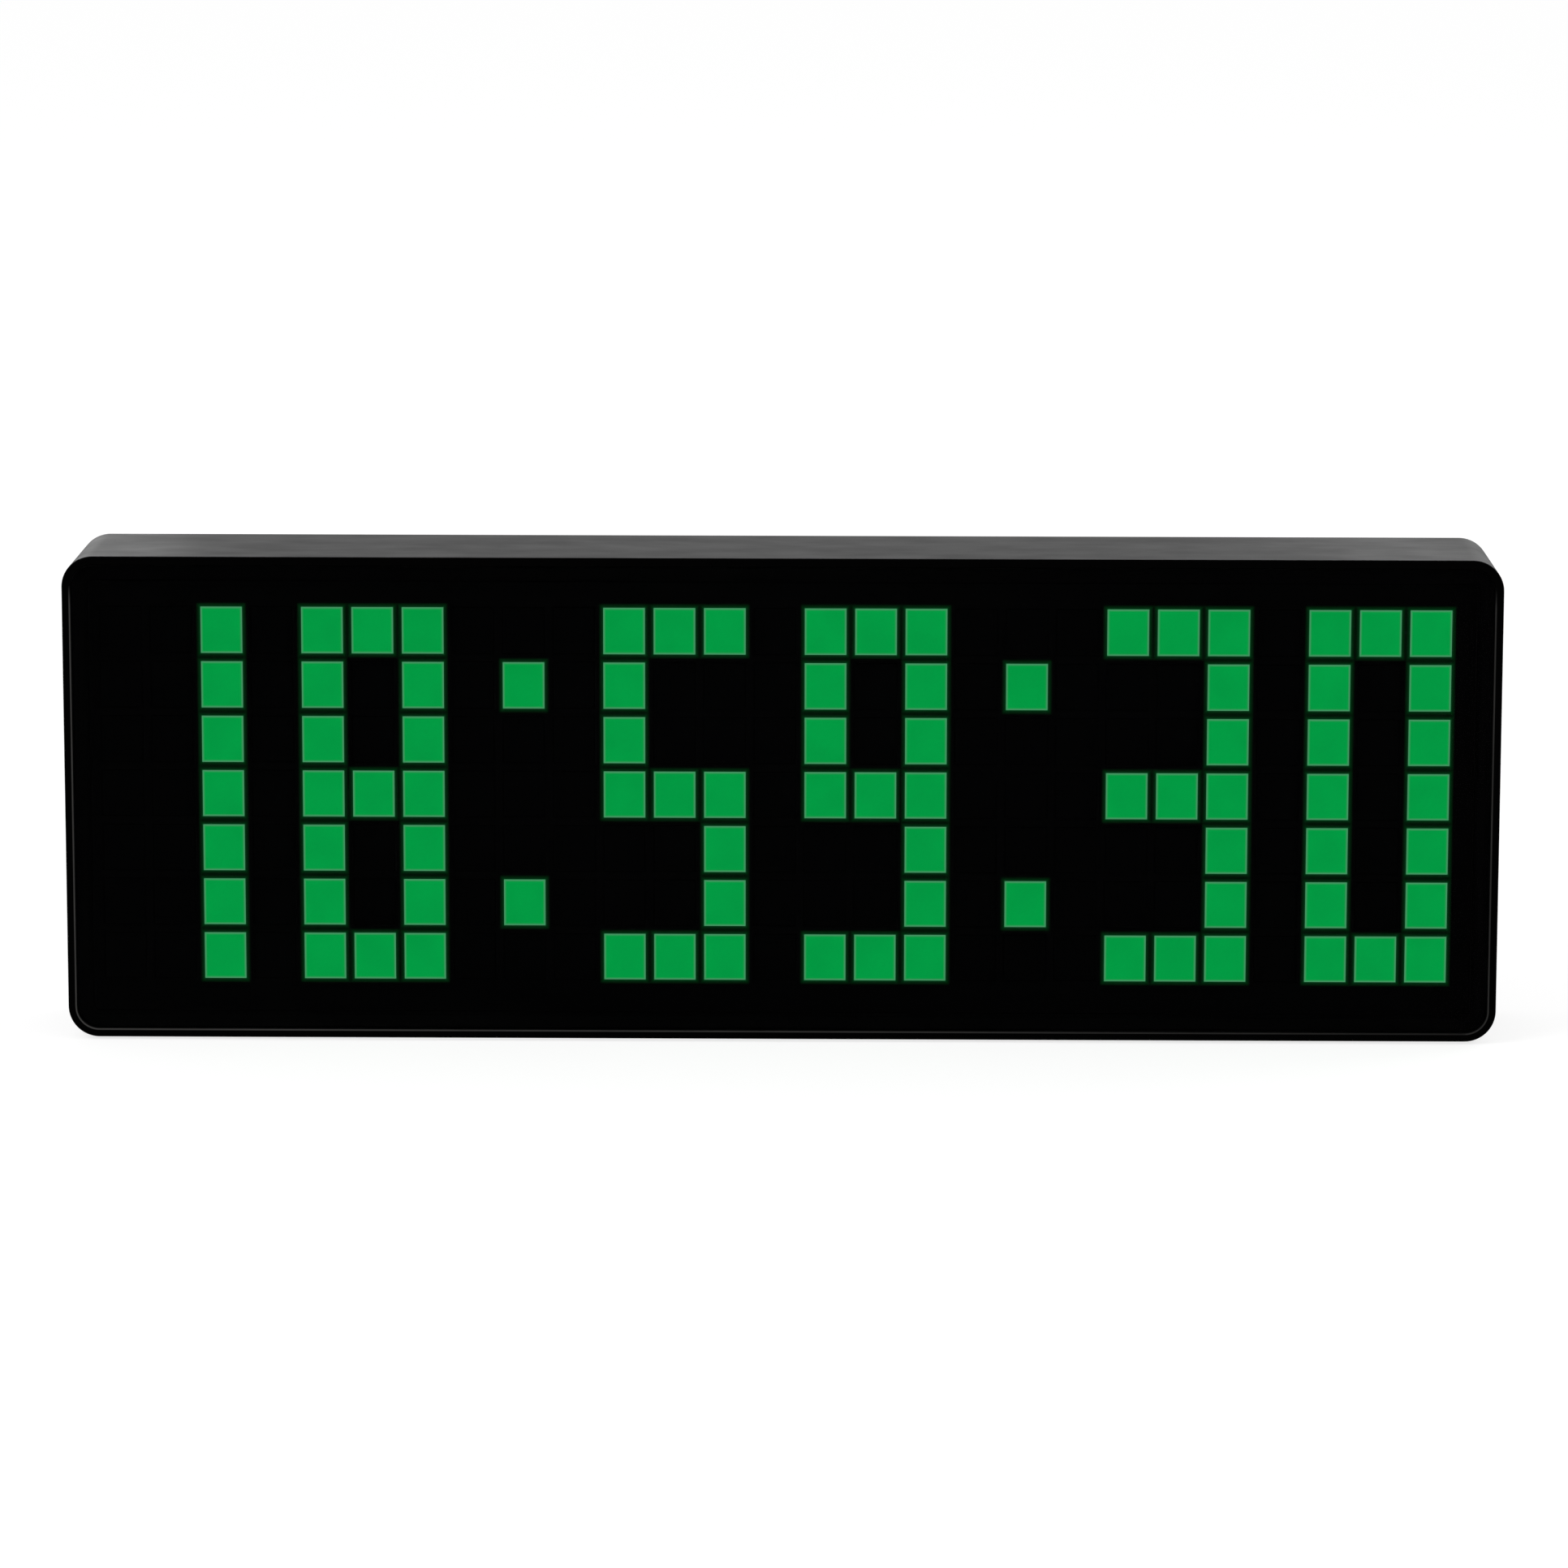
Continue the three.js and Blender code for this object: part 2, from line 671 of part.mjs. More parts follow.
// Flat lead that runs in a gentle double bend from the main board's plug to the lamp board's
function ribbonSolid() {
  const startZ = mainBoardFrontZ + seatGap + connectorHeight - ribbonThickness / 2 - ribbonEdgeInset;
  const endZ = lampBoardBackZ - seatGap - connectorHeight + ribbonThickness / 2 + ribbonEdgeInset;
  const middle = [];
  for (let step = 0; step <= ribbonSteps; step += 1) {
    const share = step / ribbonSteps;
    const rise = (1 - Math.cos(Math.PI * share)) / 2;
    middle.push([share * ribbonSpan, startZ + rise * (endZ - startZ)]);
  }
  const near = middle.map(([x, z]) => new THREE.Vector2(x, z + ribbonThickness / 2));
  const rear = middle.map(([x, z]) => new THREE.Vector2(x, z - ribbonThickness / 2)).reverse();
  const options = { depth: ribbonWidth, bevelEnabled: false };
  const geometry = new THREE.ExtrudeGeometry(new THREE.Shape([...near, ...rear]), options);
  geometry.rotateX(Math.PI / 2).translate(ribbonStartX, ribbonWidth / 2 + connectorY, 0);
  return solidOf(geometry);
}

// Pan-head screw: the head's underside is on the depth 0, the head lies behind and the shank before
function screwSolid(headRadius, headHeight, shankRadius, shankLength) {
  let solid = turned([
    [0, -headHeight],
    [headRadius * screwDomeShare, -headHeight],
    [headRadius, -headHeight / 2],
    [headRadius, 0],
    [shankRadius, 0],
    [shankRadius, shankLength - shankRadius],
    [0, shankLength],
  ], smallFacets);
  const slotLength = headRadius * crossLengthShare;
  const slotWidth = headRadius * crossWidthShare;
  const slotEndZ = headHeight * (crossDepthShare - 1);
  const slotStartZ = -headHeight - overrun;
  solid = solid.subtract(blockAt([0, 0], slotLength, slotWidth, slotStartZ, slotEndZ));
  return solid.subtract(blockAt([0, 0], slotWidth, slotLength, slotStartZ, slotEndZ));
}

// Rear cover

function addCoverBosses(solid) {
  for (const place of coverPosts) {
    const pocketRadius = coverScrewHeadRadius + runningGap;
    const holeRadius = coverScrewShankRadius + screwHoleGap;
    const rootZ = coverInnerZ - rootDepth;
    solid = solid.add(rod(place, coverBossRadius, rootZ, coverBossEndZ, smallFacets));
    solid = solid.subtract(rod(place, pocketRadius, backZ - overrun, screwPocketZ));
    solid = solid.subtract(rod(place, holeRadius, backZ, coverBossEndZ + overrun, smallFacets));
  }
  return solid;
}

function addMainPosts(solid) {
  for (const [x, y] of mainPosts) {
    const place = [x, y - mainBoardDrop];
    const holeEndZ = mainBoardFrontZ + seatGap - boardScrewShankLength - screwTipGap;
    const holeRadius = boardScrewShankRadius + screwHoleGap;
    const rootZ = coverInnerZ - rootDepth;
    solid = solid.add(rod(place, mainPostRadius, rootZ, mainPostEndZ, smallFacets));
    solid = solid.subtract(rod(place, holeRadius, holeEndZ, mainPostEndZ + overrun, smallFacets));
  }
  return solid;
}

function cutButtonPanel(solid) {
  const panelHeight = 2 * (buttonRadius + buttonPanelMargin);
  const panelWidth = panelHeight + (buttonNames.length - 1) * buttonPitch;
  const place = [buttonRowX, buttonRowY - mainBoardDrop];
  const panelEndZ = backZ + buttonPanelDepth;
  solid = solid.subtract(slab(panelWidth, panelHeight, buttonRadius, backZ - overrun, panelEndZ, place));
  for (const [x, y] of buttonPlaces) {
    const hole = [x, y - mainBoardDrop];
    solid = solid.subtract(rod(hole, buttonRadius + runningGap, backZ, coverInnerZ + overrun));
  }
  return solid;
}

function cutBatteryBay(solid) {
  const screwPlace = [batteryScrewX, cellY - mainBoardDrop];
  const bossEndZ = coverInnerZ + batteryBossHeight;
  const holeEndZ = batteryScrewSeatZ + batteryScrewShankLength + screwTipGap;
  const holeRadius = boardScrewShankRadius + screwHoleGap;
  const opening = 2 * (cellRadius + batteryOpeningMargin);
  const openingPlace = [cellX, cellY - mainBoardDrop];
  const radius = batteryCoverCornerRadius;
  const recessWidth = batteryCoverWidth + 2 * fitGap;
  const recessHeight = batteryCoverHeight + 2 * fitGap;
  const recessEndZ = backZ + batteryCoverThickness + seatGap;
  const place = [batteryCoverX, cellY - mainBoardDrop];
  const recess = slab(recessWidth, recessHeight, radius + fitGap, backZ - overrun, recessEndZ, place);
  const rootZ = coverInnerZ - rootDepth;
  solid = solid.add(rod(screwPlace, batteryBossRadius, rootZ, bossEndZ, smallFacets));
  solid = solid.subtract(recess);
  solid = solid.subtract(slab(opening, opening, radius, backZ, coverInnerZ + overrun, openingPlace));
  return solid.subtract(rod(screwPlace, holeRadius, backZ, holeEndZ, smallFacets));
}

function cutSocketOpening(solid) {
  const place = [socketX, socketY - mainBoardDrop];
  const recess = ovalSlab(socketRecessMargin, backZ - overrun, backZ + socketRecessDepth, place);
  return solid.subtract(recess).subtract(ovalSlab(fitGap, backZ, coverInnerZ + overrun, place));
}

function cutVents(solid) {
  for (const side of [-1, 1]) {
    for (let vent = 0; vent < ventCount; vent += 1) {
      const x = side * ventPlace + (vent - (ventCount - 1) / 2) * ventPitch;
      const cutStart = backZ - overrun;
      solid = solid.subtract(blockAt([x, 0], ventWidth, ventHeight, cutStart, coverInnerZ + overrun));
    }
  }
  return solid;
}

function cutSoundHoles(solid) {
  const centre = [buzzerX, buzzerY - mainBoardDrop];
  const places = [centre];
  for (let hole = 0; hole < soundHoleCount; hole += 1) {
    const angle = (2 * Math.PI * hole) / soundHoleCount;
    const x = centre[0] + soundHoleRing * Math.cos(angle);
    places.push([x, centre[1] + soundHoleRing * Math.sin(angle)]);
  }
  for (const place of places) {
    const cutStart = backZ - overrun;
    solid = solid.subtract(rod(place, soundHoleRadius, cutStart, coverInnerZ + overrun, smallFacets));
  }
  return solid;
}

function coverSolid() {
  const plate = caseSlab(rearRimWidth + fitGap, backZ, coverInnerZ);
  const fixed = addMainPosts(addCoverBosses(plate));
  return cutSoundHoles(cutVents(cutSocketOpening(cutBatteryBay(cutButtonPanel(fixed)))));
}

// Cover over the back-up cell, with a countersink for its screw

function batteryCoverSolid() {
  const place = [batteryCoverX, cellY];
  const endZ = backZ + batteryCoverThickness;
  const width = batteryCoverWidth;
  const plate = slab(width, batteryCoverHeight, batteryCoverCornerRadius, backZ, endZ, place);
  const screwPlace = [batteryScrewX, cellY];
  const pocketRadius = boardScrewHeadRadius + fitGap;
  const pocketEndZ = backZ + batteryScrewPocketDepth;
  const holeRadius = boardScrewShankRadius + screwHoleGap;
  const pocket = rod(screwPlace, pocketRadius, backZ - overrun, pocketEndZ);
  return plate.subtract(pocket).subtract(rod(screwPlace, holeRadius, backZ, endZ + overrun, smallFacets));
}

// Push button: a cap that passes through the cover, a collar behind it, and a stem to its switch
function buttonSolid() {
  const capZ = backZ + seatGap;
  const collarZ = coverInnerZ + seatGap;

  return turned([
    [0, capZ],
    [buttonRadius - buttonChamfer, capZ],
    [buttonRadius, capZ + buttonChamfer],
    [buttonRadius, collarZ],
    [buttonCollarRadius, collarZ],
    [buttonCollarRadius, collarZ + buttonCollarThickness],
    [buttonStemRadius, collarZ + buttonCollarThickness],
    [buttonStemRadius, switchRearZ + buttonStemReach],
    [0, switchRearZ + buttonStemReach],
  ]);
}

function switchSolid() {
  const body = blockAt([0, 0], switchWidth, switchWidth, switchRearZ, rearPartsZ);
  const wellRadius = buttonStemRadius + runningGap;
  const wellDepth = buttonStemReach + buttonTravel + switchWellSpare;
  return body.subtract(rod([0, 0], wellRadius, switchRearZ - overrun, switchRearZ + wellDepth));
}

// Power socket: a flattened metal tube with a tongue inside

function ovalSlab(growth, rearZ, nearZ, place = [0, 0]) {
  const height = socketHeight + 2 * growth;
  return slab(socketWidth + 2 * growth, height, height * socketRoundShare, rearZ, nearZ, place);
}

function socketSolid() {
  const endZ = backZ + socketRecessDepth;
  const floorZ = rearPartsZ - 2 * socketShell;
  const bore = ovalSlab(-socketShell, endZ - overrun, floorZ);
  const tongueEndZ = endZ + 2 * socketShell;
  const tongue = blockAt([0, 0], socketTongueWidth, socketTongueHeight, tongueEndZ, floorZ + socketShell);
  return ovalSlab(0, endZ, rearPartsZ).subtract(bore).add(tongue);
}

// Back-up cell, its cup-shaped holder and the spring contact over its edge

function cellHolderSolid() {
  const innerRadius = cellRadius + fitGap;
  const outerRadius = innerRadius + cellHolderWall;
  const rimZ = rearPartsZ - cellHolderWallHeight;
  const cup = turned([
    [0, cellHolderFloorZ],
    [innerRadius, cellHolderFloorZ],
    [innerRadius, rimZ],
    [outerRadius, rimZ],
    [outerRadius, rearPartsZ],
    [0, rearPartsZ],
  ]);
  const low = [cellRadius - rootDepth, -cellHolderNotchWidth / 2, rimZ - overrun];
  return cup.subtract(block(low, [outerRadius + overrun, cellHolderNotchWidth / 2, rearPartsZ + overrun]));
}

function cellContactSolid() {
  const nearX = cellRadius + fitGap + seatGap;
  const farX = nearX + cellContactThickness;
  const halfWidth = cellContactWidth / 2;
  const armZ = cellRearZ - seatGap;
  const armRearZ = armZ - cellContactThickness;
  const riser = block([nearX, -halfWidth, armRearZ], [farX, halfWidth, rearPartsZ]);
  return riser.add(block([farX - cellContactReach, -halfWidth, armRearZ], [farX, halfWidth, armZ]));
}

function cellSolid() {
  return turned([
    [0, cellRearZ],
    [cellCapRadius, cellRearZ],
    [cellCapRadius, cellRearZ + cellCapHeight],
    [cellRadius, cellRearZ + cellCapHeight],
    [cellRadius, cellHolderFloorZ - seatGap],
    [0, cellHolderFloorZ - seatGap],
  ]);
}

// Other parts of the main board

function mainBoardSolid() {
  const radius = mainBoardCornerRadius;
  let board = slab(mainBoardWidth, mainBoardHeight, radius, mainBoardBackZ, mainBoardFrontZ);
  for (const place of mainPosts) {
    const holeRadius = boardScrewShankRadius + screwHoleGap;
    const cutStart = mainBoardBackZ - overrun;
    board = board.subtract(rod(place, holeRadius, cutStart, mainBoardFrontZ + overrun, smallFacets));
  }
  return board;
}

function buzzerSolid() {
  const rearZ = rearPartsZ - buzzerHeight;
  return turned([
    [0, rearZ + buzzerHoleDepth],
    [buzzerHoleRadius, rearZ + buzzerHoleDepth],
    [buzzerHoleRadius, rearZ],
    [buzzerRadius, rearZ],
    [buzzerRadius, rearPartsZ],
    [0, rearPartsZ],
  ]);
}

function capacitorSolid() {
  const rearZ = rearPartsZ - capacitorHeight;
  const grooveRadius = capacitorRadius - capacitorGrooveDepth;
  const grooveZ = rearPartsZ - 2 * capacitorBaseHeight;
  return turned([
    [0, rearZ],
    [grooveRadius, rearZ],
    [capacitorRadius, rearZ + capacitorGrooveDepth],
    [capacitorRadius, grooveZ],
    [grooveRadius, grooveZ + capacitorGrooveDepth],
    [capacitorRadius, rearPartsZ - capacitorBaseHeight],
    [capacitorRadius, rearPartsZ],
    [0, rearPartsZ],
  ]);
}

function crystalSolid() {
  const geometry = new THREE.CylinderGeometry(crystalRadius, crystalRadius, crystalLength, smallFacets);
  return solidOf(geometry.rotateZ(Math.PI / 2).translate(0, 0, crystalRadius));
}

// Assembly

function piece(name, solid, finish, [x, y, z] = [0, 0, 0]) {
  const mesh = new THREE.Mesh(geometryOf(solid), new THREE.MeshStandardMaterial(finishes[finish]));
  mesh.name = name;
  mesh.position.set(x, y, z);
  return mesh;
}

function numbered(name, places, makePiece) {
  return places.map((place, index) => makePiece(`${name}_${index + 1}`, place));
}

function caseGroup() {
  const group = new THREE.Group();
  group.add(piece('case', caseSolid(), 'casePlastic'));
  group.add(piece('front_window', windowSolid(), 'smokedWindow'));
  group.add(piece('window_tape', tapeSolid(), 'tape'));
  group.add(...numbered('foot', footPlaces, (name, place) => piece(name, footSolid(place), 'rubber')));
  return group;
}

function displayGroup() {
  const group = new THREE.Group();
  group.add(piece('light_grid', gridSolid(), 'gridPlastic'));
  group.add(piece('tiles_unlit', unlitTilesSolid(), 'darkTile'));
  for (const { name, pixels } of characters) {
    group.add(piece(name, litTilesSolid(name, pixels), 'litTile'));
  }
  group.add(piece('lamp_board', lampBoardSolid(), 'lampBoard'));
  const partsZ = lampBoardBackZ - seatGap;
  const driver = blockAt([0, 0], driverLength, driverWidth, 0, driverHeight);
  const drivers = numbered('lamp_driver', [-driverPitch, 0, driverPitch], (name, x) => {
    return piece(name, driver, 'chip', [driverX + x, 0, partsZ]);
  });
  const connectorPlace = [lampConnectorX, connectorY - mainBoardDrop, partsZ];
  const connector = piece('lamp_board_connector', connectorSolid(), 'connector', connectorPlace);
  for (const mesh of [...drivers, connector]) mesh.rotation.x = Math.PI;
  group.add(...drivers, connector);
  group.add(...numbered('lamp_board_screw', boardPosts, (name, [x, y]) => {
    return piece(name, boardScrewSolid(), 'steel', [x, y, boardScrewSeatZ]);
  }));
  return group;
}

function boardScrewSolid() {
  const head = [boardScrewHeadRadius, boardScrewHeadHeight];
  return screwSolid(...head, boardScrewShankRadius, boardScrewShankLength);
}

// Main board with everything soldered to it, in a frame centred on the board
function mainBoardGroup() {
  const group = new THREE.Group();
  group.position.y = -mainBoardDrop;
  const nearZ = mainBoardFrontZ + seatGap;
  group.add(piece('main_board', mainBoardSolid(), 'mainBoard'));
  const controller = chipSolid(controllerSize, controllerSize, controllerHeight, controllerLegs);
  group.add(piece('controller_chip', controller, 'chip', [controllerX, controllerY, nearZ]));
  const clockChip = chipSolid(clockChipLength, clockChipWidth, clockChipHeight, clockChipLegs);
  group.add(piece('clock_chip', clockChip, 'chip', [clockChipX, clockChipY, nearZ]));
  group.add(piece('clock_crystal', crystalSolid(), 'steel', [crystalX, crystalY, nearZ]));
  const connectorPlace = [connectorX, connectorY, nearZ];
  group.add(piece('main_board_connector', connectorSolid(), 'connector', connectorPlace));
  group.add(piece('ribbon_lead', ribbonSolid(), 'ribbon'));
  group.add(piece('power_socket', socketSolid(), 'steel', [socketX, socketY, 0]));
  group.add(piece('buzzer', buzzerSolid(), 'chip', [buzzerX, buzzerY, 0]));
  group.add(piece('supply_capacitor', capacitorSolid(), 'steel', [capacitorX, capacitorY, 0]));
  group.add(piece('cell_holder', cellHolderSolid(), 'chip', [cellX, cellY, 0]));
  group.add(piece('cell_contact', cellContactSolid(), 'steel', [cellX, cellY, 0]));
  group.add(piece('backup_cell', cellSolid(), 'steel', [cellX, cellY, 0]));
  buttonPlaces.forEach(([x, y], index) => {
    group.add(piece(`switch_${buttonNames[index]}`, switchSolid(), 'chip', [x, y, 0]));
  });
  group.add(...numbered('main_board_screw', mainPosts, (name, [x, y]) => {
    const screw = piece(name, boardScrewSolid(), 'steel', [x, y, nearZ]);
    screw.rotation.x = Math.PI;
    return screw;
  }));
  return group;
}

function rearGroup() {
  const group = new THREE.Group();
  group.add(piece('rear_cover', coverSolid(), 'casePlastic'));
  group.add(...numbered('cover_screw', coverPosts, (name, [x, y]) => {
    const head = [coverScrewHeadRadius, coverScrewHeadHeight];
    const solid = screwSolid(...head, coverScrewShankRadius, coverScrewShankLength);
    return piece(name, solid, 'blackSteel', [x, y, coverScrewSeatZ]);
  }));
  const overBoard = new THREE.Group();
  overBoard.position.y = -mainBoardDrop;
  overBoard.add(piece('battery_cover', batteryCoverSolid(), 'casePlastic'));
  const head = [boardScrewHeadRadius, batteryScrewHeadHeight];
  const screw = screwSolid(...head, boardScrewShankRadius, batteryScrewShankLength);
  const screwPlace = [batteryScrewX, cellY, batteryScrewSeatZ];
  overBoard.add(piece('battery_cover_screw', screw, 'blackSteel', screwPlace));
  buttonPlaces.forEach(([x, y], index) => {
    overBoard.add(piece(`button_${buttonNames[index]}`, buttonSolid(), 'buttonPlastic', [x, y, 0]));
  });
  return group.add(overBoard);
}

const upright = new THREE.Group();
upright.add(caseGroup(), displayGroup(), mainBoardGroup(), rearGroup());
upright.rotation.x = Math.PI / 2;
upright.position.z = footProud + caseHeight / 2;

const clock = new THREE.Group();
clock.add(upright);

export default clock;
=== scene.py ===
"""Looks of a wide desk clock whose dark window shows the time in square green pixels.

Lengths are in metres. x runs to the right along the face, y from the face to the back and
z up, with the underside of the feet at z = 0. The pieces follow in the order of assembly.
"""

import math

import bmesh
import bpy
import numpy as np
from mathutils import Matrix, Vector
from mathutils.geometry import tessellate_polygon


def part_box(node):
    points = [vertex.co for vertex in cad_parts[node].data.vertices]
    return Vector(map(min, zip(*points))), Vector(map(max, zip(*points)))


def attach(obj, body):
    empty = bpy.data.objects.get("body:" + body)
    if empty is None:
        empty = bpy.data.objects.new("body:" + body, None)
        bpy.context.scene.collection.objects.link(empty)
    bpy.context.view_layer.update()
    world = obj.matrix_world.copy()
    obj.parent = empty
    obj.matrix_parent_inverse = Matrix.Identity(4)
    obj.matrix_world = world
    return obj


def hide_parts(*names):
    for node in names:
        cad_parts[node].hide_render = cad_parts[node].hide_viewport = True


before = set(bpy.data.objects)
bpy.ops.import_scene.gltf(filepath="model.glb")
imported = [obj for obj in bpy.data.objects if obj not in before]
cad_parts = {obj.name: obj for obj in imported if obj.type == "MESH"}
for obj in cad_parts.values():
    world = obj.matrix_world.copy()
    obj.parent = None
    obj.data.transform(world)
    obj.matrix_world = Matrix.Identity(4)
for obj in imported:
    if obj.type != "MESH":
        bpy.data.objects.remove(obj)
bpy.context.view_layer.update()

# Case
# One injection-moulded tube of black satin plastic with rounded corners. A narrow gloss rim
# frames the window, a ledge behind it carries the window, and posts for screws run inside.


def measured(box):
    """Middle and half size (x, z) of a CAD node's box, and its depths y in front and behind."""
    low, high = np.array(box)
    return (low + high)[[0, 2]] / 2, (high - low)[[0, 2]] / 2, low[1], high[1]


case_low, case_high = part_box("case")
case_bottom, case_top = case_low.z, case_high.z
case_middle, case_half, case_front, case_back = measured([case_low, case_high])
case_half_width, case_half_height = case_half
case_corner = 0.0065
case_edge = 0.0005
case_wall = 0.003
rim_width = 0.0018
rim_lip = 0.00022
lip_start = rim_lip * 1.6
ledge_width = 0.0034
ledge_front = case_front + 0.0028
ledge_back = ledge_front + 0.002
rear_rim_width = 0.0017
rear_step = case_back - 0.0028
wall_height = case_half_height - case_wall
post_height = case_half_height - 0.0066
post_rib, rib_overlap, rib_root = 0.0008, 0.0002, 0.9
cover_post_x, board_post_x = case_half_width - 0.012, 0.069
foot_x, foot_y = 0.125, 0.01
foot_recess, foot_recess_depth = 0.00495, 0.001
satin_black = (0.0075, 0.0075, 0.0077)
gloss_black = (0.0003, 0.0003, 0.0003, 1)
# Paler colour of the rim's lip along the window: a painted highlight, where the lip catches light.
lip_painted_highlight = (0.066, 0.064, 0.062, 1)
# Shares of the lip's painted highlight: below from left to right, at the left side and at the
# right, and the heights between which the sides' painted highlight fades out.
highlight_below = (0.95, 0.25)
highlight_left, highlight_right = 1.0, 0.5
highlight_until = (case_top - 0.0087, case_top - 0.0062)
# Posts: outer radius, bore radius, depths of the free end and of the bore's end.
cover_post = (0.0028, 0.0015, 0.0142, 0.0032)
board_post = (0.0026, 0.00115, -0.0048, -0.0098)


def rounded_rectangle(half_width, half_height, radius, arc_steps=12, side_steps=1):
    """Outline as centres, outward directions and a radius, anticlockwise from the right.

    At a corner the centre stays and the direction turns evenly through a quarter circle.
    Along a side the direction stays and the centre moves on in even steps.
    """
    turn = np.linspace(0, np.pi / 2, arc_steps + 1)
    step = np.arange(1, side_steps)[:, None] / side_steps
    corners = np.array([(1, 1), (-1, 1), (-1, -1), (1, -1)])
    corners = corners * (half_width - radius, half_height - radius)
    centres, angles = [], []
    for quarter in range(4):
        here, following = corners[quarter], corners[(quarter + 1) % 4]
        centres += [np.tile(here, (arc_steps + 1, 1)), here + step * (following - here)]
        angles += [turn + quarter * np.pi / 2, np.full(side_steps - 1, (quarter + 1) * np.pi / 2)]
    angles = np.concatenate(angles)
    return np.concatenate(centres), np.stack([np.cos(angles), np.sin(angles)], axis=1), radius


def circle(radius=0, arc_steps=8):
    """The outline of a circle: a rounded rectangle with no straight sides."""
    return rounded_rectangle(radius, radius, radius, arc_steps)


def square(half_width, half_height):
    """The outline of a sharp rectangle, whose directions are diagonals, so it grows evenly."""
    corners = np.array([(1, 1), (-1, 1), (-1, -1), (1, -1)], float)
    return corners * (half_width, half_height), corners, 0


def rounded(corners, steps=4):
    """Profile through corners (distance, depth, fillet), each fillet an arc between its sides.

    The arc starts and ends at fillet / tan(half the corner's angle) from the corner, and its
    points are weighted sines of the way from its first to its last radius.
    """
    points = []
    share = np.linspace(0, 1, steps + 1)[:, None]
    for index, (distance, depth, fillet) in enumerate(corners):
        corner = np.array([distance, depth])
        if not fillet:
            points.append(corner[None])
            continue
        before = np.array(corners[index - 1][:2]) - corner
        after = np.array(corners[(index + 1) % len(corners)][:2]) - corner
        before /= np.linalg.norm(before)
        after /= np.linalg.norm(after)
        half = math.acos(before @ after) / 2
        middle = before + after
        middle = corner + middle / np.linalg.norm(middle) * fillet / math.sin(half)
        first = corner + before * fillet / math.tan(half) - middle
        last = corner + after * fillet / math.tan(half) - middle
        sweep = np.pi - 2 * half
        arc = np.sin((1 - share) * sweep) * first + np.sin(share * sweep) * last
        points.append(middle + arc / math.sin(sweep))
    return np.concatenate(points)


def carry(outline, profile, place=(0, 0)):
    """Grid of points: a profile (distance outwards, depth y) carried along an outline.

    Each point is place + centre + direction * (radius + distance), at the profile's depth.
    """
    centres, directions, radius = outline
    profile = np.asarray(profile, float)
    away = directions[:, None] * (radius + profile[None, :, :1])
    face = np.asarray(place) + centres[:, None] + away
    depth = np.broadcast_to(profile[None, :, 1:2], face.shape[:2] + (1,))
    return np.concatenate([face[..., :1], depth, face[..., 1:]], axis=2)


def ends_of(grid):
    """The flats that close the two ends of a grid."""
    return [[grid[:, 0]], [grid[:, -1]]]


def bar(outline, near_end, far_end, place):
    """A straight bar along y of any outline: a grid round its sides, and its two ends."""
    grid = carry(outline, [(0, near_end), (0, far_end)], place)
    return grid, ends_of(grid)


def bars_of(*bars):
    """The grids and the ends of several bars, each in one list."""
    return [grid for grid, ends in bars], [end for grid, ends in bars for end in ends]


def faces_of(grid, start):
    """Faces of a grid of points, whose rows close in a ring.

    Each face joins two neighbouring points in each of two neighbouring rows.
    """
    index = np.arange(grid.shape[0] * grid.shape[1]).reshape(grid.shape[:2]) + start
    index = np.concatenate([index, index[:1]])
    corners = [index[:-1, :-1], index[1:, :-1], index[1:, 1:], index[:-1, 1:]]
    return np.stack(corners, axis=-1).reshape(-1, 4).tolist()


def filled(loops, start):
    """Faces of a flat: one loop as a single face, or a rim and its holes as triangles."""
    index = np.arange(start, start + sum(map(len, loops)))
    if len(loops) == 1:
        return [index.tolist()]
    triangles = tessellate_polygon([[Vector(point) for point in loop] for loop in loops])
    return index[np.array(triangles)].tolist()


def mended(mesh, near=1e-7):
    """A mesh with near points merged, no face without area, and its faces turned outwards."""
    shape = bmesh.new()
    shape.from_mesh(mesh)
    bmesh.ops.remove_doubles(shape, verts=shape.verts, dist=near)
    bmesh.ops.dissolve_degenerate(shape, edges=shape.edges, dist=near)
    bmesh.ops.recalc_face_normals(shape, faces=shape.faces)
    shape.to_mesh(mesh)
    shape.free()
    return mesh


def mesh_of(name, grids, flats):
    """A mesh of grids, each closed in a ring, and of the flats between them."""
    vertices, faces, start = [], [], 0
    for grid in grids:
        faces += faces_of(grid, start)
        vertices.append(grid.reshape(-1, 3))
        start += len(vertices[-1])
    for loops in flats:
        apart = [np.abs(loop - np.roll(loop, 1, axis=0)).max(axis=1) > 1e-8 for loop in loops]
        loops = [loop[kept] for loop, kept in zip(loops, apart)]
        faces += filled(loops, start)
        vertices += loops
        start += sum(map(len, loops))
    mesh = bpy.data.meshes.new(name)
    mesh.from_pydata(np.concatenate(vertices).tolist(), [], faces)
    return mended(mesh)


def placed(name, data):
    """A mesh, lamp or camera as an object of the scene."""
    made = bpy.data.objects.new(name, data)
    bpy.context.scene.collection.objects.link(made)
    return made


def values_of(group, name, width=1):
    """One value or vector of every element of a mesh, as an array."""
    found = np.zeros(len(group) * width)
    group.foreach_get(name, found)
    return found.reshape(-1, width) if width > 1 else found


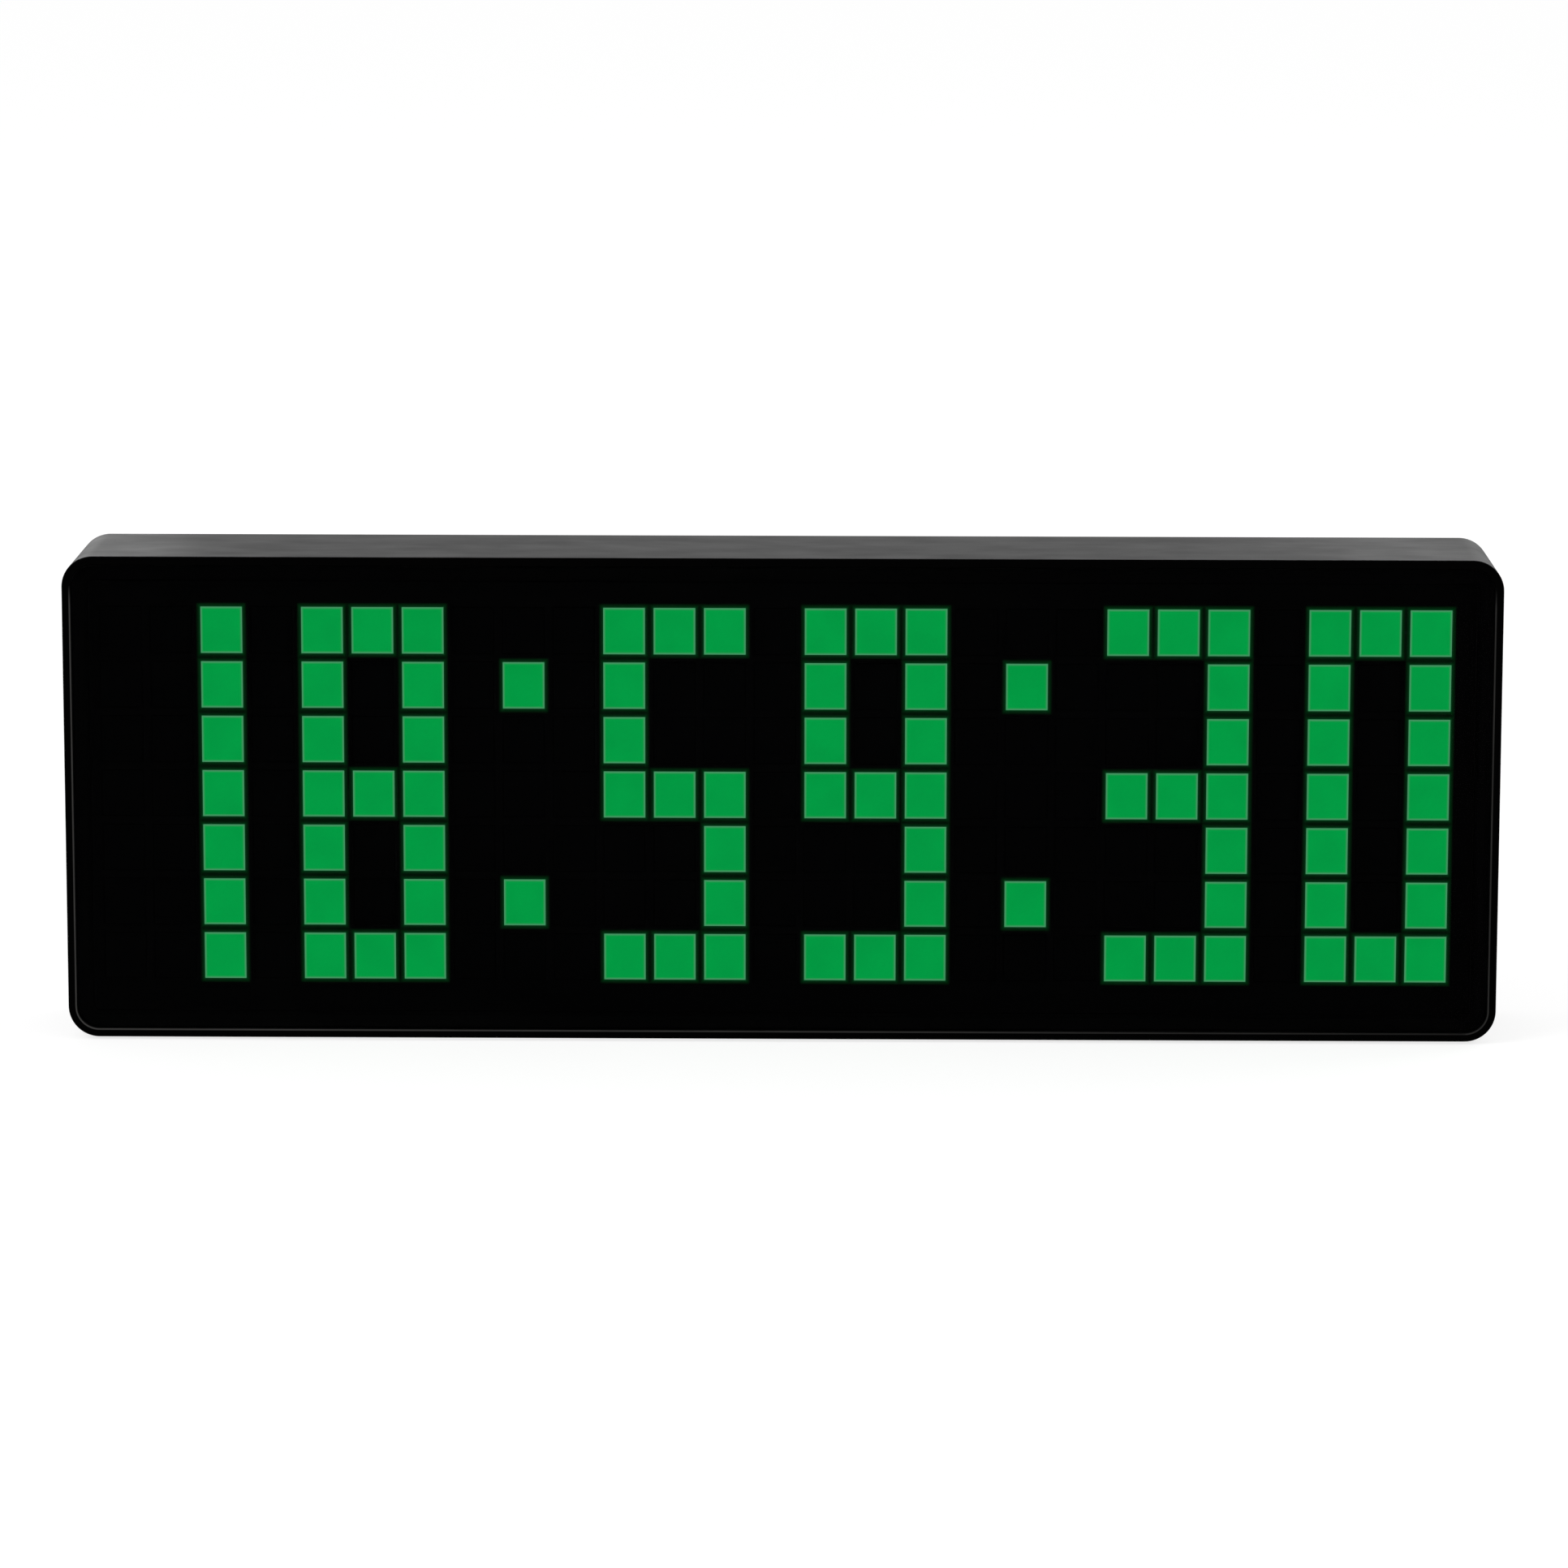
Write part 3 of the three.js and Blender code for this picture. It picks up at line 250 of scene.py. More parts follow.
def edge_share(mesh):
    """How sharply the surface turns at each vertex: 1 less the length of its mean face normal.

    Each face counts by its area, so that a wide flat stays plain up to its fillets.
    """
    totals = values_of(mesh.polygons, "loop_total").astype(int)
    corners = values_of(mesh.loops, "vertex_index").astype(int)
    normals = np.c_[values_of(mesh.polygons, "normal", 3), np.ones(len(totals))]
    normals *= values_of(mesh.polygons, "area")[:, None]
    sums = np.zeros((len(mesh.vertices), 4))
    np.add.at(sums, corners, np.repeat(normals, totals, axis=0))
    return 1 - np.linalg.norm(sums[:, :3], axis=1) / np.maximum(sums[:, 3], 1e-12)


def note(piece, name, amounts):
    """Keeps one amount for each vertex of a piece as a named attribute."""
    piece.data.attributes.new(name, "FLOAT", "POINT").data.foreach_set("value", amounts)


def moulding(name, grids, flats=(), cut=None, sharp=40):
    """A closed piece of grids and flats, less what a second set of grids and flats takes away.

    The attribute edge is high where the surface turns.
    """
    made = placed(name, mesh_of(name, grids, flats))
    if cut:
        cutter = placed("cutter", mesh_of("cutter", *cut))
        taken = made.modifiers.new("taken", "BOOLEAN")
        taken.object = cutter
        taken.use_self = True
        view = bpy.context.evaluated_depsgraph_get()
        finished = bpy.data.meshes.new_from_object(made.evaluated_get(view))
        made.modifiers.remove(taken)
        made.data = mended(finished)
        bpy.data.objects.remove(cutter)
    made.data.polygons.foreach_set("use_smooth", np.ones(len(made.data.polygons), bool))
    made.data.set_sharp_from_angle(angle=math.radians(sharp))
    note(made, "edge", edge_share(made.data))
    made.modifiers.new("even_shading", "WEIGHTED_NORMAL").keep_sharp = True
    return made


def finish_where(piece, number, chosen):
    """Puts a further material, by its number, on the faces whose middles pass a test."""
    numbers = values_of(piece.data.polygons, "material_index")
    numbers[chosen(*values_of(piece.data.polygons, "center", 3).T)] = number
    piece.data.polygons.foreach_set("material_index", numbers.astype(np.int32))


def fit(piece, slot, materials, *nodes, body="clock_body"):
    """Gives a new piece its materials and body, and lets it stand for its CAD nodes; slot is not
    used.
    """
    for material in materials:
        piece.data.materials.append(material)
    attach(piece, body)
    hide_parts(*nodes)


def node(tree, kind, inputs, **settings):
    """A new shader node. An input that is a socket is linked, and any other is set."""
    made = tree.nodes.new("ShaderNode" + kind)
    for key, value in settings.items():
        setattr(made, key, value)
    for key, value in inputs.items():
        if isinstance(value, bpy.types.NodeSocket):
            tree.links.new(value, made.inputs[key])
        else:
            made.inputs[key].default_value = value
    return made


def surface(name, constants):
    """A new material whose shader has these constants, and its tree of nodes."""
    material = bpy.data.materials.new(name)
    material.use_nodes = True
    for key, value in constants.items():
        material.node_tree.nodes["Principled BSDF"].inputs[key].default_value = value
    return material, material.node_tree


def position(tree):
    """The place of a point on the object, in metres."""
    return node(tree, "TexCoord", {}).outputs["Object"]


def noise(tree, scale, detail=2, stretch=(1, 1, 1)):
    """Noise from 0 to 1 across the object, with its cells stretched along each axis."""
    squeeze = tuple(1 / length for length in stretch)
    inputs = {"Vector": position(tree), "Scale": squeeze}
    place = node(tree, "Mapping", inputs).outputs["Vector"]
    inputs = {"Vector": place, "Scale": scale, "Detail": detail}
    return node(tree, "TexNoise", inputs).outputs["Fac"]


def combined(tree, operation, *values):
    """Values combined by a mathematical operation."""
    return node(tree, "Math", dict(enumerate(values)), operation=operation).outputs["Value"]


def blended(tree, share, first, second):
    """The colour between two colours at a share."""
    return node(tree, "Mix", {0: share, 6: first, 7: second}, data_type="RGBA").outputs[2]


def ranged(tree, value, low, high, start=0.3, end=0.7):
    """A value spread evenly from low to high as it goes from start to end, and held beyond."""
    inputs = {"Value": value, "From Min": start, "From Max": end, "To Min": low, "To Max": high}
    return node(tree, "MapRange", inputs).outputs["Result"]


def feed(material, inputs):
    """Links inputs of a material's shader, and hands the material back."""
    tree = material.node_tree
    for key, value in inputs.items():
        tree.links.new(value, tree.nodes["Principled BSDF"].inputs[key])
    return material


def finish(material, inputs, height, depth, strength=0.5):
    """Feeds a material, and bumps it by a height from 0 to 1 over a depth in metres."""
    bump = {"Height": height, "Distance": depth, "Strength": strength}
    normal = node(material.node_tree, "Bump", bump).outputs["Normal"]
    return feed(material, inputs | {"Normal": normal})


def shades(colour, *factors):
    """Darker and lighter shades of a colour."""
    return [(*(min(part * factor, 1) for part in colour), 1) for factor in factors]


def attribute(tree, name):
    """The amounts kept for the points of a piece under a name."""
    return node(tree, "Attribute", {}, attribute_name=name).outputs["Fac"]


def moulded(name, colour, shine, roughness, grain=2600, depth=0.00002, stretch=(1, 1, 1)):
    """Moulded plastic: a spark-eroded grain, cloudy colour and roughness, and paler worn edges."""
    material, tree = surface(name, {"Specular IOR Level": shine})
    deep, pale, wear_and_highlight = shades(colour, 0.93, 1.07, 1.7)
    mottled = blended(tree, ranged(tree, noise(tree, 45, 4, stretch), 0, 1), deep, pale)
    exposed = ranged(tree, attribute(tree, "edge"), 0, 1, start=0.004, end=0.03)
    wear = combined(tree, "MULTIPLY", exposed, noise(tree, 300, 3))
    matt = ranged(tree, noise(tree, 160, 3, stretch), roughness - 0.03, roughness + 0.03)
    inputs = {"Base Color": blended(tree, wear, mottled, wear_and_highlight), "Roughness": matt}
    return finish(material, inputs, noise(tree, grain, 1), depth)


case_profile = rounded([
    (0, case_front, case_edge),
    (lip_start - rim_width, case_front, 0),
    (-rim_width, case_front, rim_lip),
    (-rim_width, case_front + lip_start, 0),
    (-rim_width, ledge_front, 0),
    (-rim_width - ledge_width, ledge_front, case_edge / 2),
    (-rim_width - ledge_width, ledge_back, 0),
    (-case_wall, ledge_back, 0),
    (-case_wall, rear_step, 0),
    (-rear_rim_width, rear_step, 0),
    (-rear_rim_width, case_back, rim_lip),
    (0, case_back, case_edge),
], 5)
case_profile = np.concatenate([case_profile, case_profile[:1]])
case_outline = rounded_rectangle(case_half_width, case_half_height, case_corner, 16, 24)
case_grids = [carry(case_outline, case_profile, case_middle)]
case_flats = []


def post_places(*xs):
    """Places (x, z) of posts, first those along the bottom wall and then along the top."""
    return [(x, case_middle[1] + side * post_height) for side in (-1, 1) for x in xs]


cover_post_places = post_places(-cover_post_x, 0, cover_post_x)
board_post_places = post_places(-board_post_x, board_post_x)
foot_places = [(x, y) for y in (foot_y, -foot_y) for x in (-foot_x, foot_x)]


def add_post(place, outer, bore, near_end, bore_end):
    """A round post with a blind bore, turned from its profile, and a rib from it to the wall.

    The rib starts at a share, rib_root, of the post's radius and runs a little into the wall.
    """
    bore_side = [(0, bore_end), (bore, bore_end), (bore, near_end)]
    profile = [*bore_side, (outer, near_end), (outer, ledge_back), (0, ledge_back)]
    case_grids.append(carry(circle(0, 5), profile, place))
    side = math.copysign(1, place[1] - case_middle[1])
    half = (wall_height - post_height - outer * rib_root) / 2
    rib_middle = (place[0], case_middle[1] + side * (wall_height - half))
    grid, ends = bar(square(post_rib, half + rib_overlap), near_end, ledge_back, rib_middle)
    case_grids.append(grid)
    case_flats.extend(ends)


def recess_for_foot(place):
    """The round recess of a foot, as a bar upright along z that starts below the case."""
    below, floor = case_bottom - foot_recess_depth, case_bottom + foot_recess_depth
    grid, ends = bar(circle(foot_recess, 10), below, floor, place)
    return grid[..., [0, 2, 1]], [[end[0][:, [0, 2, 1]]] for end in ends]


for place in cover_post_places:
    add_post(place, *cover_post)
for place in board_post_places:
    add_post(place, *board_post)
recesses = bars_of(*map(recess_for_foot, foot_places))
case = moulding("case_moulding", case_grids, case_flats, recesses)


def lip_highlight_share(mesh):
    """How strong the painted highlight is on the rim's window side: most at the left, less to the
    right and below.

    It is painted where the lip catches light, along the sides and the bottom. Under the top rim it
    stays dark. The inset is the distance from the case's rounded outline.
    """
    x, y, z = values_of(mesh.vertices, "co", 3).T
    centre = np.array([[case_half_width], [case_half_height]]) - case_corner
    past = np.abs([x, z - case_middle[1]]) - centre
    beyond = np.linalg.norm(np.maximum(past, 0), axis=0)
    inset = case_corner - beyond - np.minimum(past.max(axis=0), 0)
    reach = rim_lip * 1.01
    lip = (y < case_front + reach) & (inset > rim_width - reach)
    below = np.interp(x, [-case_half_width, case_half_width], highlight_below)
    beside = np.where(x < 0, highlight_left, highlight_right)
    at_side = case_half_width - np.abs(x) < case_corner
    amount = np.where(at_side, beside, np.where(z < case_middle[1], below, 0))
    return lip * amount * np.interp(z, highlight_until, [1, 0])


def rim_gloss():
    """Polished black front of the rim; its lip along the window has a paler painted highlight."""
    material, tree = surface("rim_gloss", {"Specular IOR Level": 0.008})
    patches = ranged(tree, noise(tree, 90, 3), 0.8, 1)
    # Painted highlight: the lip's share, a little patchy, turns the black paler.
    wear_and_highlight = combined(tree, "MULTIPLY", attribute(tree, "lip"), patches)
    colour = blended(tree, wear_and_highlight, gloss_black, lip_painted_highlight)
    gloss = ranged(tree, noise(tree, 220, 3), 0.22, 0.32)
    inputs = {"Base Color": colour, "Roughness": gloss}
    return finish(material, inputs, noise(tree, 900, 1), 0.000004)


# The lip's painted highlight, kept as a share for each point of the case.
note(case, "lip", lip_highlight_share(case.data))
finish_where(case, 1, lambda x, y, z: y < case_front + case_edge * 1.02)
case_satin = moulded("case_satin", satin_black, 0.04, 0.42, stretch=(2, 1, 1))
fit(case, "case_plastic", [case_satin, rim_gloss()], "case")

# Window tape
# A frame of black foam tape, die-cut and stuck to the case's ledge. It holds the window.

tape_black = (0.02, 0.02, 0.02)


def coat(material, *names):
    """Gives CAD nodes a material in their own slots."""
    for name in names:
        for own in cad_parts[name].material_slots:
            own.material = material


coat(moulded("foam_tape", tape_black, 0.1, 0.9, 5000, 0.00005), "window_tape")

# Front window
# A sheet of smoked acrylic, cut to a rounded rectangle with eased edges. It lies flush in the
# case's rim, and the pixels shine through it.

window_middle, window_half, window_front, window_back = measured(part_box("front_window"))
window_corner = case_corner - (case_half_width - window_half[0])
window_edge = 0.00015
window_solidity = 0.6
window_profile = rounded([
    (-window_edge * 2, window_front, 0),
    (0, window_front, window_edge),
    (0, window_back, window_edge),
    (-window_edge * 2, window_back, 0),
], 3)


def smoked_acrylic():
    """Nearly black clear plastic, with wiping marks in its gloss and a slight waviness."""
    constants = {"Base Color": (0.0004, 0.0004, 0.0005, 1), "Alpha": window_solidity}
    material, tree = surface("smoked_acrylic", constants | {"Specular IOR Level": 0.008})
    smear = ranged(tree, noise(tree, 30, 4, (5, 1, 1.5)), 0.05, 0.13)
    return finish(material, {"Roughness": smear}, noise(tree, 25, 0), 0.00001, 0.2)


window_outline = rounded_rectangle(*window_half, window_corner, 16)
window_grid = carry(window_outline, window_profile, window_middle)
window = moulding("window_sheet", [window_grid], ends_of(window_grid))
fit(window, "smoked_window", [smoked_acrylic()], "front_window")

# Light grid
# A black moulded plate with a window for each of the 27 by 7 pixels, so that no light strays
# from one to the next. Its rim hooks behind the ledge, and its skirt stands on the lamp board.

pixel_columns, pixel_rows = 27, 7
field_left = 0.0077 - case_half_width
field_right = case_half_width - 0.0105
field_top = case_top - 0.0107
field_bottom = case_bottom + 0.0123
column_rib, row_rib = 0.00178, 0.00171
column_pitch = (field_right - field_left + column_rib) / pixel_columns
row_pitch = (field_top - field_bottom + row_rib) / pixel_rows
pixel_half = np.array([column_pitch - column_rib, row_pitch - row_rib]) / 2
grid_front, grid_skirt_end = (corner.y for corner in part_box("light_grid"))
grid_back = grid_front + 0.007
grid_chamfer = 0.00025
grid_gap = 0.00025
ledge_gap = 0.0002
grid_inset = rim_width + ledge_width + grid_gap
grid_rim_inset = case_wall + grid_gap
grid_skirt = 0.0016
slot_half_length, cover_slot, board_slot = 0.006, 0.0031, 0.0029
grid_black = (0.01, 0.01, 0.01)


def pixel_middle(column, row):
    """Places (x, z) of pixels by column and row, counted from the top left."""
    x = field_left + pixel_half[0] + column * column_pitch
    return np.stack(np.broadcast_arrays(x, field_top - pixel_half[1] - row * row_pitch), axis=-1)


def post_slot(place, half_width):
    """The slot that a case post passes through, open to the plate's edge."""
    shift = math.copysign(slot_half_length - half_width, place[1] - case_middle[1])
    outline = rounded_rectangle(half_width, slot_half_length, half_width, 6)
    near_end, far_end = ledge_back - 2 * ledge_gap, grid_skirt_end + 5 * ledge_gap
    return bar(outline, near_end, far_end, (place[0], place[1] + shift))


grid_profile = rounded([
    (-grid_inset - 4 * grid_chamfer, grid_front, 0),
    (-grid_inset, grid_front, grid_chamfer),
    (-grid_inset, ledge_back + ledge_gap, 0),
    (-grid_rim_inset, ledge_back + ledge_gap, 0),
    (-grid_rim_inset, grid_skirt_end, 0),
    (-grid_rim_inset - grid_skirt, grid_skirt_end, 0),
    (-grid_rim_inset - grid_skirt, grid_back, 0),
], 3)
grid_window = [(grid_chamfer, grid_front), (0, grid_front + grid_chamfer), (0, grid_back)]
grid_outline = rounded_rectangle(case_half_width, case_half_height, case_corner, 8)
grid_rim = carry(grid_outline, grid_profile, case_middle)
all_pixels = pixel_middle(*map(np.ravel, np.mgrid[:pixel_columns, :pixel_rows]))
grid_windows = [carry(square(*pixel_half), grid_window, place) for place in all_pixels]
grid_flats = [[grid_rim[:, end]] + [hole[:, end] for hole in grid_windows] for end in (0, -1)]
slots = [post_slot(place, cover_slot) for place in cover_post_places]
slots += [post_slot(place, board_slot) for place in board_post_places]
slots = bars_of(*slots)
light_grid = moulding("light_grid_moulding", [grid_rim, *grid_windows], grid_flats, slots)
grid_plastic = moulded("grid_plastic_black", grid_black, 0.05, 0.75)
fit(light_grid, "grid_plastic", [grid_plastic], "light_grid")

# Lit pixels
# Blocks of milky acrylic in the windows of the light grid, joined behind its ribs by webs. A
# green lamp shines into each one. Round its crowned front, the edge is duller, and a thin
# flange over the ribs carries a faint painted glow: light spilling onto the ribs, painted as
# emission.

tile_crown = 0.00014
tile_gap = 0.00003
dull_edge = 0.0005
flange_reach = column_rib / 2 - tile_gap
flange_thickness = 0.00003
flange_steps = (0.01, 0.15, 0.35, 0.6, 1)
# Painted glow: light spilling onto the ribs, painted as emission on the flange and fading outwards.
glow_length = 0.0003
edge_glow = 0.17
web_inset = 0.00015
web_front = grid_back + 0.0002
colon_strip, colon_rows = 0.00055, (1, 5)
lamp_green = (0.0001, 0.316, 0.0535)
dull_green = (0.075, 0.275, 0.14, 1)
# Light passes both faces of the window.
window_clear = (1 - window_solidity) ** 2
characters = {
    "tiles_hours_tens": (2, "# # # # # # #"),
    "tiles_hours_units": (4, "### #.# #.# ### #.# #.# ###"),
    "tiles_colon_left": (8, ". # . . . # ."),
    "tiles_minutes_tens": (10, "### #.. #.. ### ..# ..# ###"),
    "tiles_minutes_units": (14, "### #.# #.# ### ..# ..# ###"),
    "tiles_colon_right": (18, ". # . . . # ."),
    "tiles_seconds_tens": (20, "### ..# ..# ### ..# ..# ###"),
    "tiles_seconds_units": (24, "### #.# #.# #.# #.# #.# ###"),
}


def webs_between(marks, along, first_column, back):
    """Webs to the next lit pixel along a row (along = 1) or down a column (along = 0)."""
    pair = marks[:, :-1] & marks[:, 1:] if along else marks[:-1] & marks[1:]
    row, column = np.nonzero(pair)
    places = pixel_middle(first_column + column + along / 2, row + (1 - along) / 2)
    half = pixel_half - web_inset
    half[1 - along] = (row_pitch, column_pitch)[along] / 2 - web_inset
    return [bar(square(*half), web_front, back, place) for place in places]


def strip_of_colon(first_column, back):
    """The strip behind the rib beside a colon, from its upper pixel to its lower one."""
    upper, lower = colon_rows
    middle = pixel_middle(first_column + 0.5, (upper + lower) / 2)
    half_length = (lower - upper) / 2 * row_pitch + 2 * colon_strip
    stub = (column_rib / 2 + colon_strip) / 2
    strips = [bar(square(colon_strip, half_length), web_front, back, middle)]
    for row in colon_rows:
        place = pixel_middle(first_column + 0.5, row) - (stub - colon_strip, 0)
        strips.append(bar(square(stub + web_inset, 2 * colon_strip), web_front, back, place))
    return strips


def pixel_glow(mesh):
    """Attributes glow and dull, by each point's distance outwards from its pixel's edge.

    Glow is 1 within the edge and falls off as an exponential over the flange, where it is a painted
    glow of light spilling onto the ribs. Dull rises to 1 at the edge from nothing at the dull
    edge's inner side.
    """
    x, y, z = values_of(mesh.vertices, "co", 3).T
    pitch = np.array([[column_pitch], [row_pitch]])
    count = (np.stack([x - field_left, field_top - z]) - pixel_half[:, None]) / pitch
    away = np.abs(count - np.round(count)) * pitch
    distance = (away - pixel_half[:, None] + tile_gap).max(axis=0)
    outside = distance > 1e-6
    glow = np.where(outside, edge_glow * np.exp(-distance / glow_length), 1)
    return glow, np.where(outside, 0, np.clip(1 + distance / dull_edge, 0, 1))


def lit_tiles(name, first_column, rows):
    """The blocks and webs of one character, each block a profile carried round its pixel."""
    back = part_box(name)[1].y
    marks = np.array([list(row) for row in rows.split()]) == "#"
    row, column = np.nonzero(marks)
    flange_front = grid_front - flange_thickness
    profile = [
        (-dull_edge, grid_front - tile_crown),
        (-dull_edge / 2, grid_front - tile_crown * 0.9),
        (0, flange_front - tile_crown * 0.2),
        *((flange_reach * step, flange_front) for step in flange_steps),
        (flange_reach, grid_front - flange_thickness / 3),
        (grid_chamfer, grid_front - flange_thickness / 3),
        (0, grid_front + grid_chamfer),
        (0, back),
    ]
    outline = square(*(pixel_half - tile_gap))
    blocks = [carry(outline, profile, place) for place in pixel_middle(first_column + column, row)]
    if marks.shape[1] == 1 and not marks[0, 0]:
        webs = strip_of_colon(first_column, back)
    else:
        webs = webs_between(marks, 1, first_column, back)
        webs += webs_between(marks, 0, first_column, back)
    web_grids, web_ends = bars_of(*webs)
    ends = [end for block in blocks for end in ends_of(block)]
    piece = moulding(f"{name}_blocks", blocks + web_grids, ends + web_ends, sharp=20)
    glow, dull = pixel_glow(piece.data)
    note(piece, "glow", glow)
    note(piece, "dull", dull)
    return piece


def lit_acrylic():
    """Milky acrylic lit from behind, a little brighter where the diffuser is thin."""
    light = {"Base Color": (0.02, 0.05, 0.03, 1), "Emission Strength": 1 / window_clear}
    material, tree = surface("lit_acrylic", light | {"Specular IOR Level": 0.1})
    patches = ranged(tree, noise(tree, 170, 1), 0, 1)
    face = blended(tree, patches, *shades(lamp_green, 0.965, 1.035))
    front = blended(tree, attribute(tree, "dull"), face, dull_green)
    # Over the flange the emission fades out: a painted glow of light spilling onto the ribs.
    shining = blended(tree, attribute(tree, "glow"), (0, 0, 0, 1), front)
    matt = ranged(tree, noise(tree, 240, 2), 0.4, 0.5)
    inputs = {"Emission Color": shining, "Roughness": matt}
    return finish(material, inputs, noise(tree, 3000, 1), 0.00001)


tile_acrylic = lit_acrylic()
for name, (first_column, rows) in characters.items():
    fit(lit_tiles(name, first_column, rows), "lit_tile", [tile_acrylic], name)

# Unlit pixels
# The blocks of the other pixels stand on one thin plate of the same acrylic. With no light
# behind them they look black through the window.

unlit_acrylic = (0.01, 0.011, 0.0105)
coat(moulded("unlit_acrylic", unlit_acrylic, 0.05, 0.75, 3000, 0.00001), "tiles_unlit")

# Lamp board
# A black circuit board with a square green lamp behind each pixel. Driver chips and a plug
# for the ribbon lead are soldered to its back, and four screws hold it to the case's posts.

board_black = (0.008, 0.009, 0.01)
solder = (0.5, 0.5, 0.5, 1)
chip_black = (0.014, 0.014, 0.015)
nylon = (0.52, 0.49, 0.42)
# Depth of the lamps' middle, the margin round it, and the lamps' colour.
lamps = (-0.0055, 0.00085, (0.55, 0.6, 0.5, 1))
driver_feet, leg_height = -0.0029, 0.0003


def at_depth(tree, depth, margin):
    """1 within a margin of a depth y, and 0 elsewhere."""
    y = node(tree, "SeparateXYZ", {"Vector": position(tree)}).outputs["Y"]
    return combined(tree, "COMPARE", y, depth, margin)


def circuit_board(name, mask, part_depth, part_margin, part_colour):
    """Lacquered board with fine copper tracks under the lacquer, and paler parts at one depth."""
    material, tree = surface(name, {"Specular IOR Level": 0.45})
    turn = {"Vector": position(tree), "Rotation": (math.pi / 2, 0, 0)}
    place = node(tree, "Mapping", turn).outputs["Vector"]
    sizes = {"Scale": 1, "Mortar Size": 0.00012, "Brick Width": 0.0061, "Row Height": 0.0013}
    tracks = node(tree, "TexBrick", {"Vector": place, **sizes}, offset=0.37).outputs["Fac"]
    part = at_depth(tree, part_depth, part_margin)
    lacquer = blended(tree, tracks, *shades(mask, 0.9, 2.2))
    colour = blended(tree, part, lacquer, part_colour)
    gloss = ranged(tree, noise(tree, 400, 3), 0.3, 0.45)
    return finish(material, {"Base Color": colour, "Roughness": gloss}, tracks, 0.00002)


def chip_package(name, foot_depth):
    """Black epoxy, finely grained, on tinned legs close to the board."""
    material, tree = surface(name, {"Specular IOR Level": 0.3})
    legs = at_depth(tree, foot_depth, leg_height)
    epoxy = blended(tree, noise(tree, 900, 3), *shades(chip_black, 0.85, 1.2))
    colour = blended(tree, legs, epoxy, solder)
    inputs = {"Base Color": colour, "Roughness": ranged(tree, legs, 0.6, 0.3, 0, 1)}
    return finish(material, inputs, noise(tree, 5000, 1), 0.00001)


def metal(name, colour, roughness, stretch=(1, 1, 1)):
    """Bare or plated metal with fine drawn lines, duller in patches."""
    material, tree = surface(name, {"Metallic": 1.0})
    lines = noise(tree, 900, 3, stretch)
    dull = ranged(tree, noise(tree, 500, 4), roughness - 0.08, roughness + 0.08)
    drawn = blended(tree, lines, *shades(colour, 0.85, 1.1))
    inputs = {"Base Color": drawn, "Roughness": dull}
    return finish(material, inputs, lines, 0.000008)


coat(circuit_board("lamp_board_lacquer", board_black, *lamps), "lamp_board")
driver_epoxy = chip_package("driver_epoxy", driver_feet)
coat(driver_epoxy, *(f"lamp_driver_{number}" for number in range(1, 4)))
plug_nylon = moulded("plug_nylon", nylon, 0.4, 0.45, 1500)
coat(plug_nylon, "lamp_board_connector", "main_board_connector")
plated_steel = metal("plated_steel", (0.55, 0.55, 0.56), 0.3)
coat(plated_steel, *(f"lamp_board_screw_{number}" for number in range(1, 5)))

# Ribbon lead
# A flat grey lead of parallel wires, folded between the plugs of the two boards.

ribbon_grey = (0.3, 0.3, 0.31)
wire_pitch = 0.00127


def ribbon_insulation():
    """Ribbed grey insulation: a wave across the wires, a crest each, painted darker in the troughs.
    """
    material, tree = surface("ribbon_insulation", {"Specular IOR Level": 0.35})
    inputs = {"Vector": position(tree), "Scale": math.pi / 10 / wire_pitch}
    crest = node(tree, "TexWave", inputs, bands_direction="Z").outputs["Fac"]
    matt = ranged(tree, noise(tree, 300, 3), 0.4, 0.55)
    # Painted shade and light: the grey is darker in the troughs and paler on the crests.
    grey = blended(tree, crest, *shades(ribbon_grey, 0.7, 1.1))
    inputs = {"Base Color": grey, "Roughness": matt}
    return finish(material, inputs, crest, 0.0002)


coat(ribbon_insulation(), "ribbon_lead")

# Main board
# A green circuit board on four posts of the rear cover. It carries the two chips, a crystal,
# the buzzer, a capacitor, the cell in its holder, and the switches behind the buttons.

board_green = (0.006, 0.045, 0.02)
button_names = ("alarm", "down", "up", "set")
main_board_front, main_board_back = (corner.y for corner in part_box("main_board"))
# Depth of the gilt pads, the margin round it, and their colour.
pads = (main_board_front - 0.001, 0.0005, (0.4, 0.3, 0.1, 1))

coat(circuit_board("main_board_lacquer", board_green, *pads), "main_board")
coat(chip_package("controller_epoxy", main_board_front), "controller_chip", "clock_chip")
coat(chip_package("switch_nylon", main_board_back), *(f"switch_{key}" for key in button_names))
coat(moulded("buzzer_plastic", chip_black, 0.3, 0.5), "buzzer")
coat(moulded("cell_holder_nylon", (0.02, 0.02, 0.021), 0.35, 0.5), "cell_holder")
coat(metal("capacitor_aluminium", (0.75, 0.76, 0.77), 0.28, (1, 6, 1)), "supply_capacitor")
coat(metal("cell_steel", (0.62, 0.61, 0.59), 0.22, (8, 1, 1)), "backup_cell")
main_board_screws = [f"main_board_screw_{number}" for number in range(1, 5)]
coat(plated_steel, "clock_crystal", "cell_contact", *main_board_screws)

# Rear cover
# A grained black plate in the case's rear rim. It is moulded with a sunk panel for the four
# buttons, a bay for the battery cover, the socket's recess, vents, sound holes and bosses.

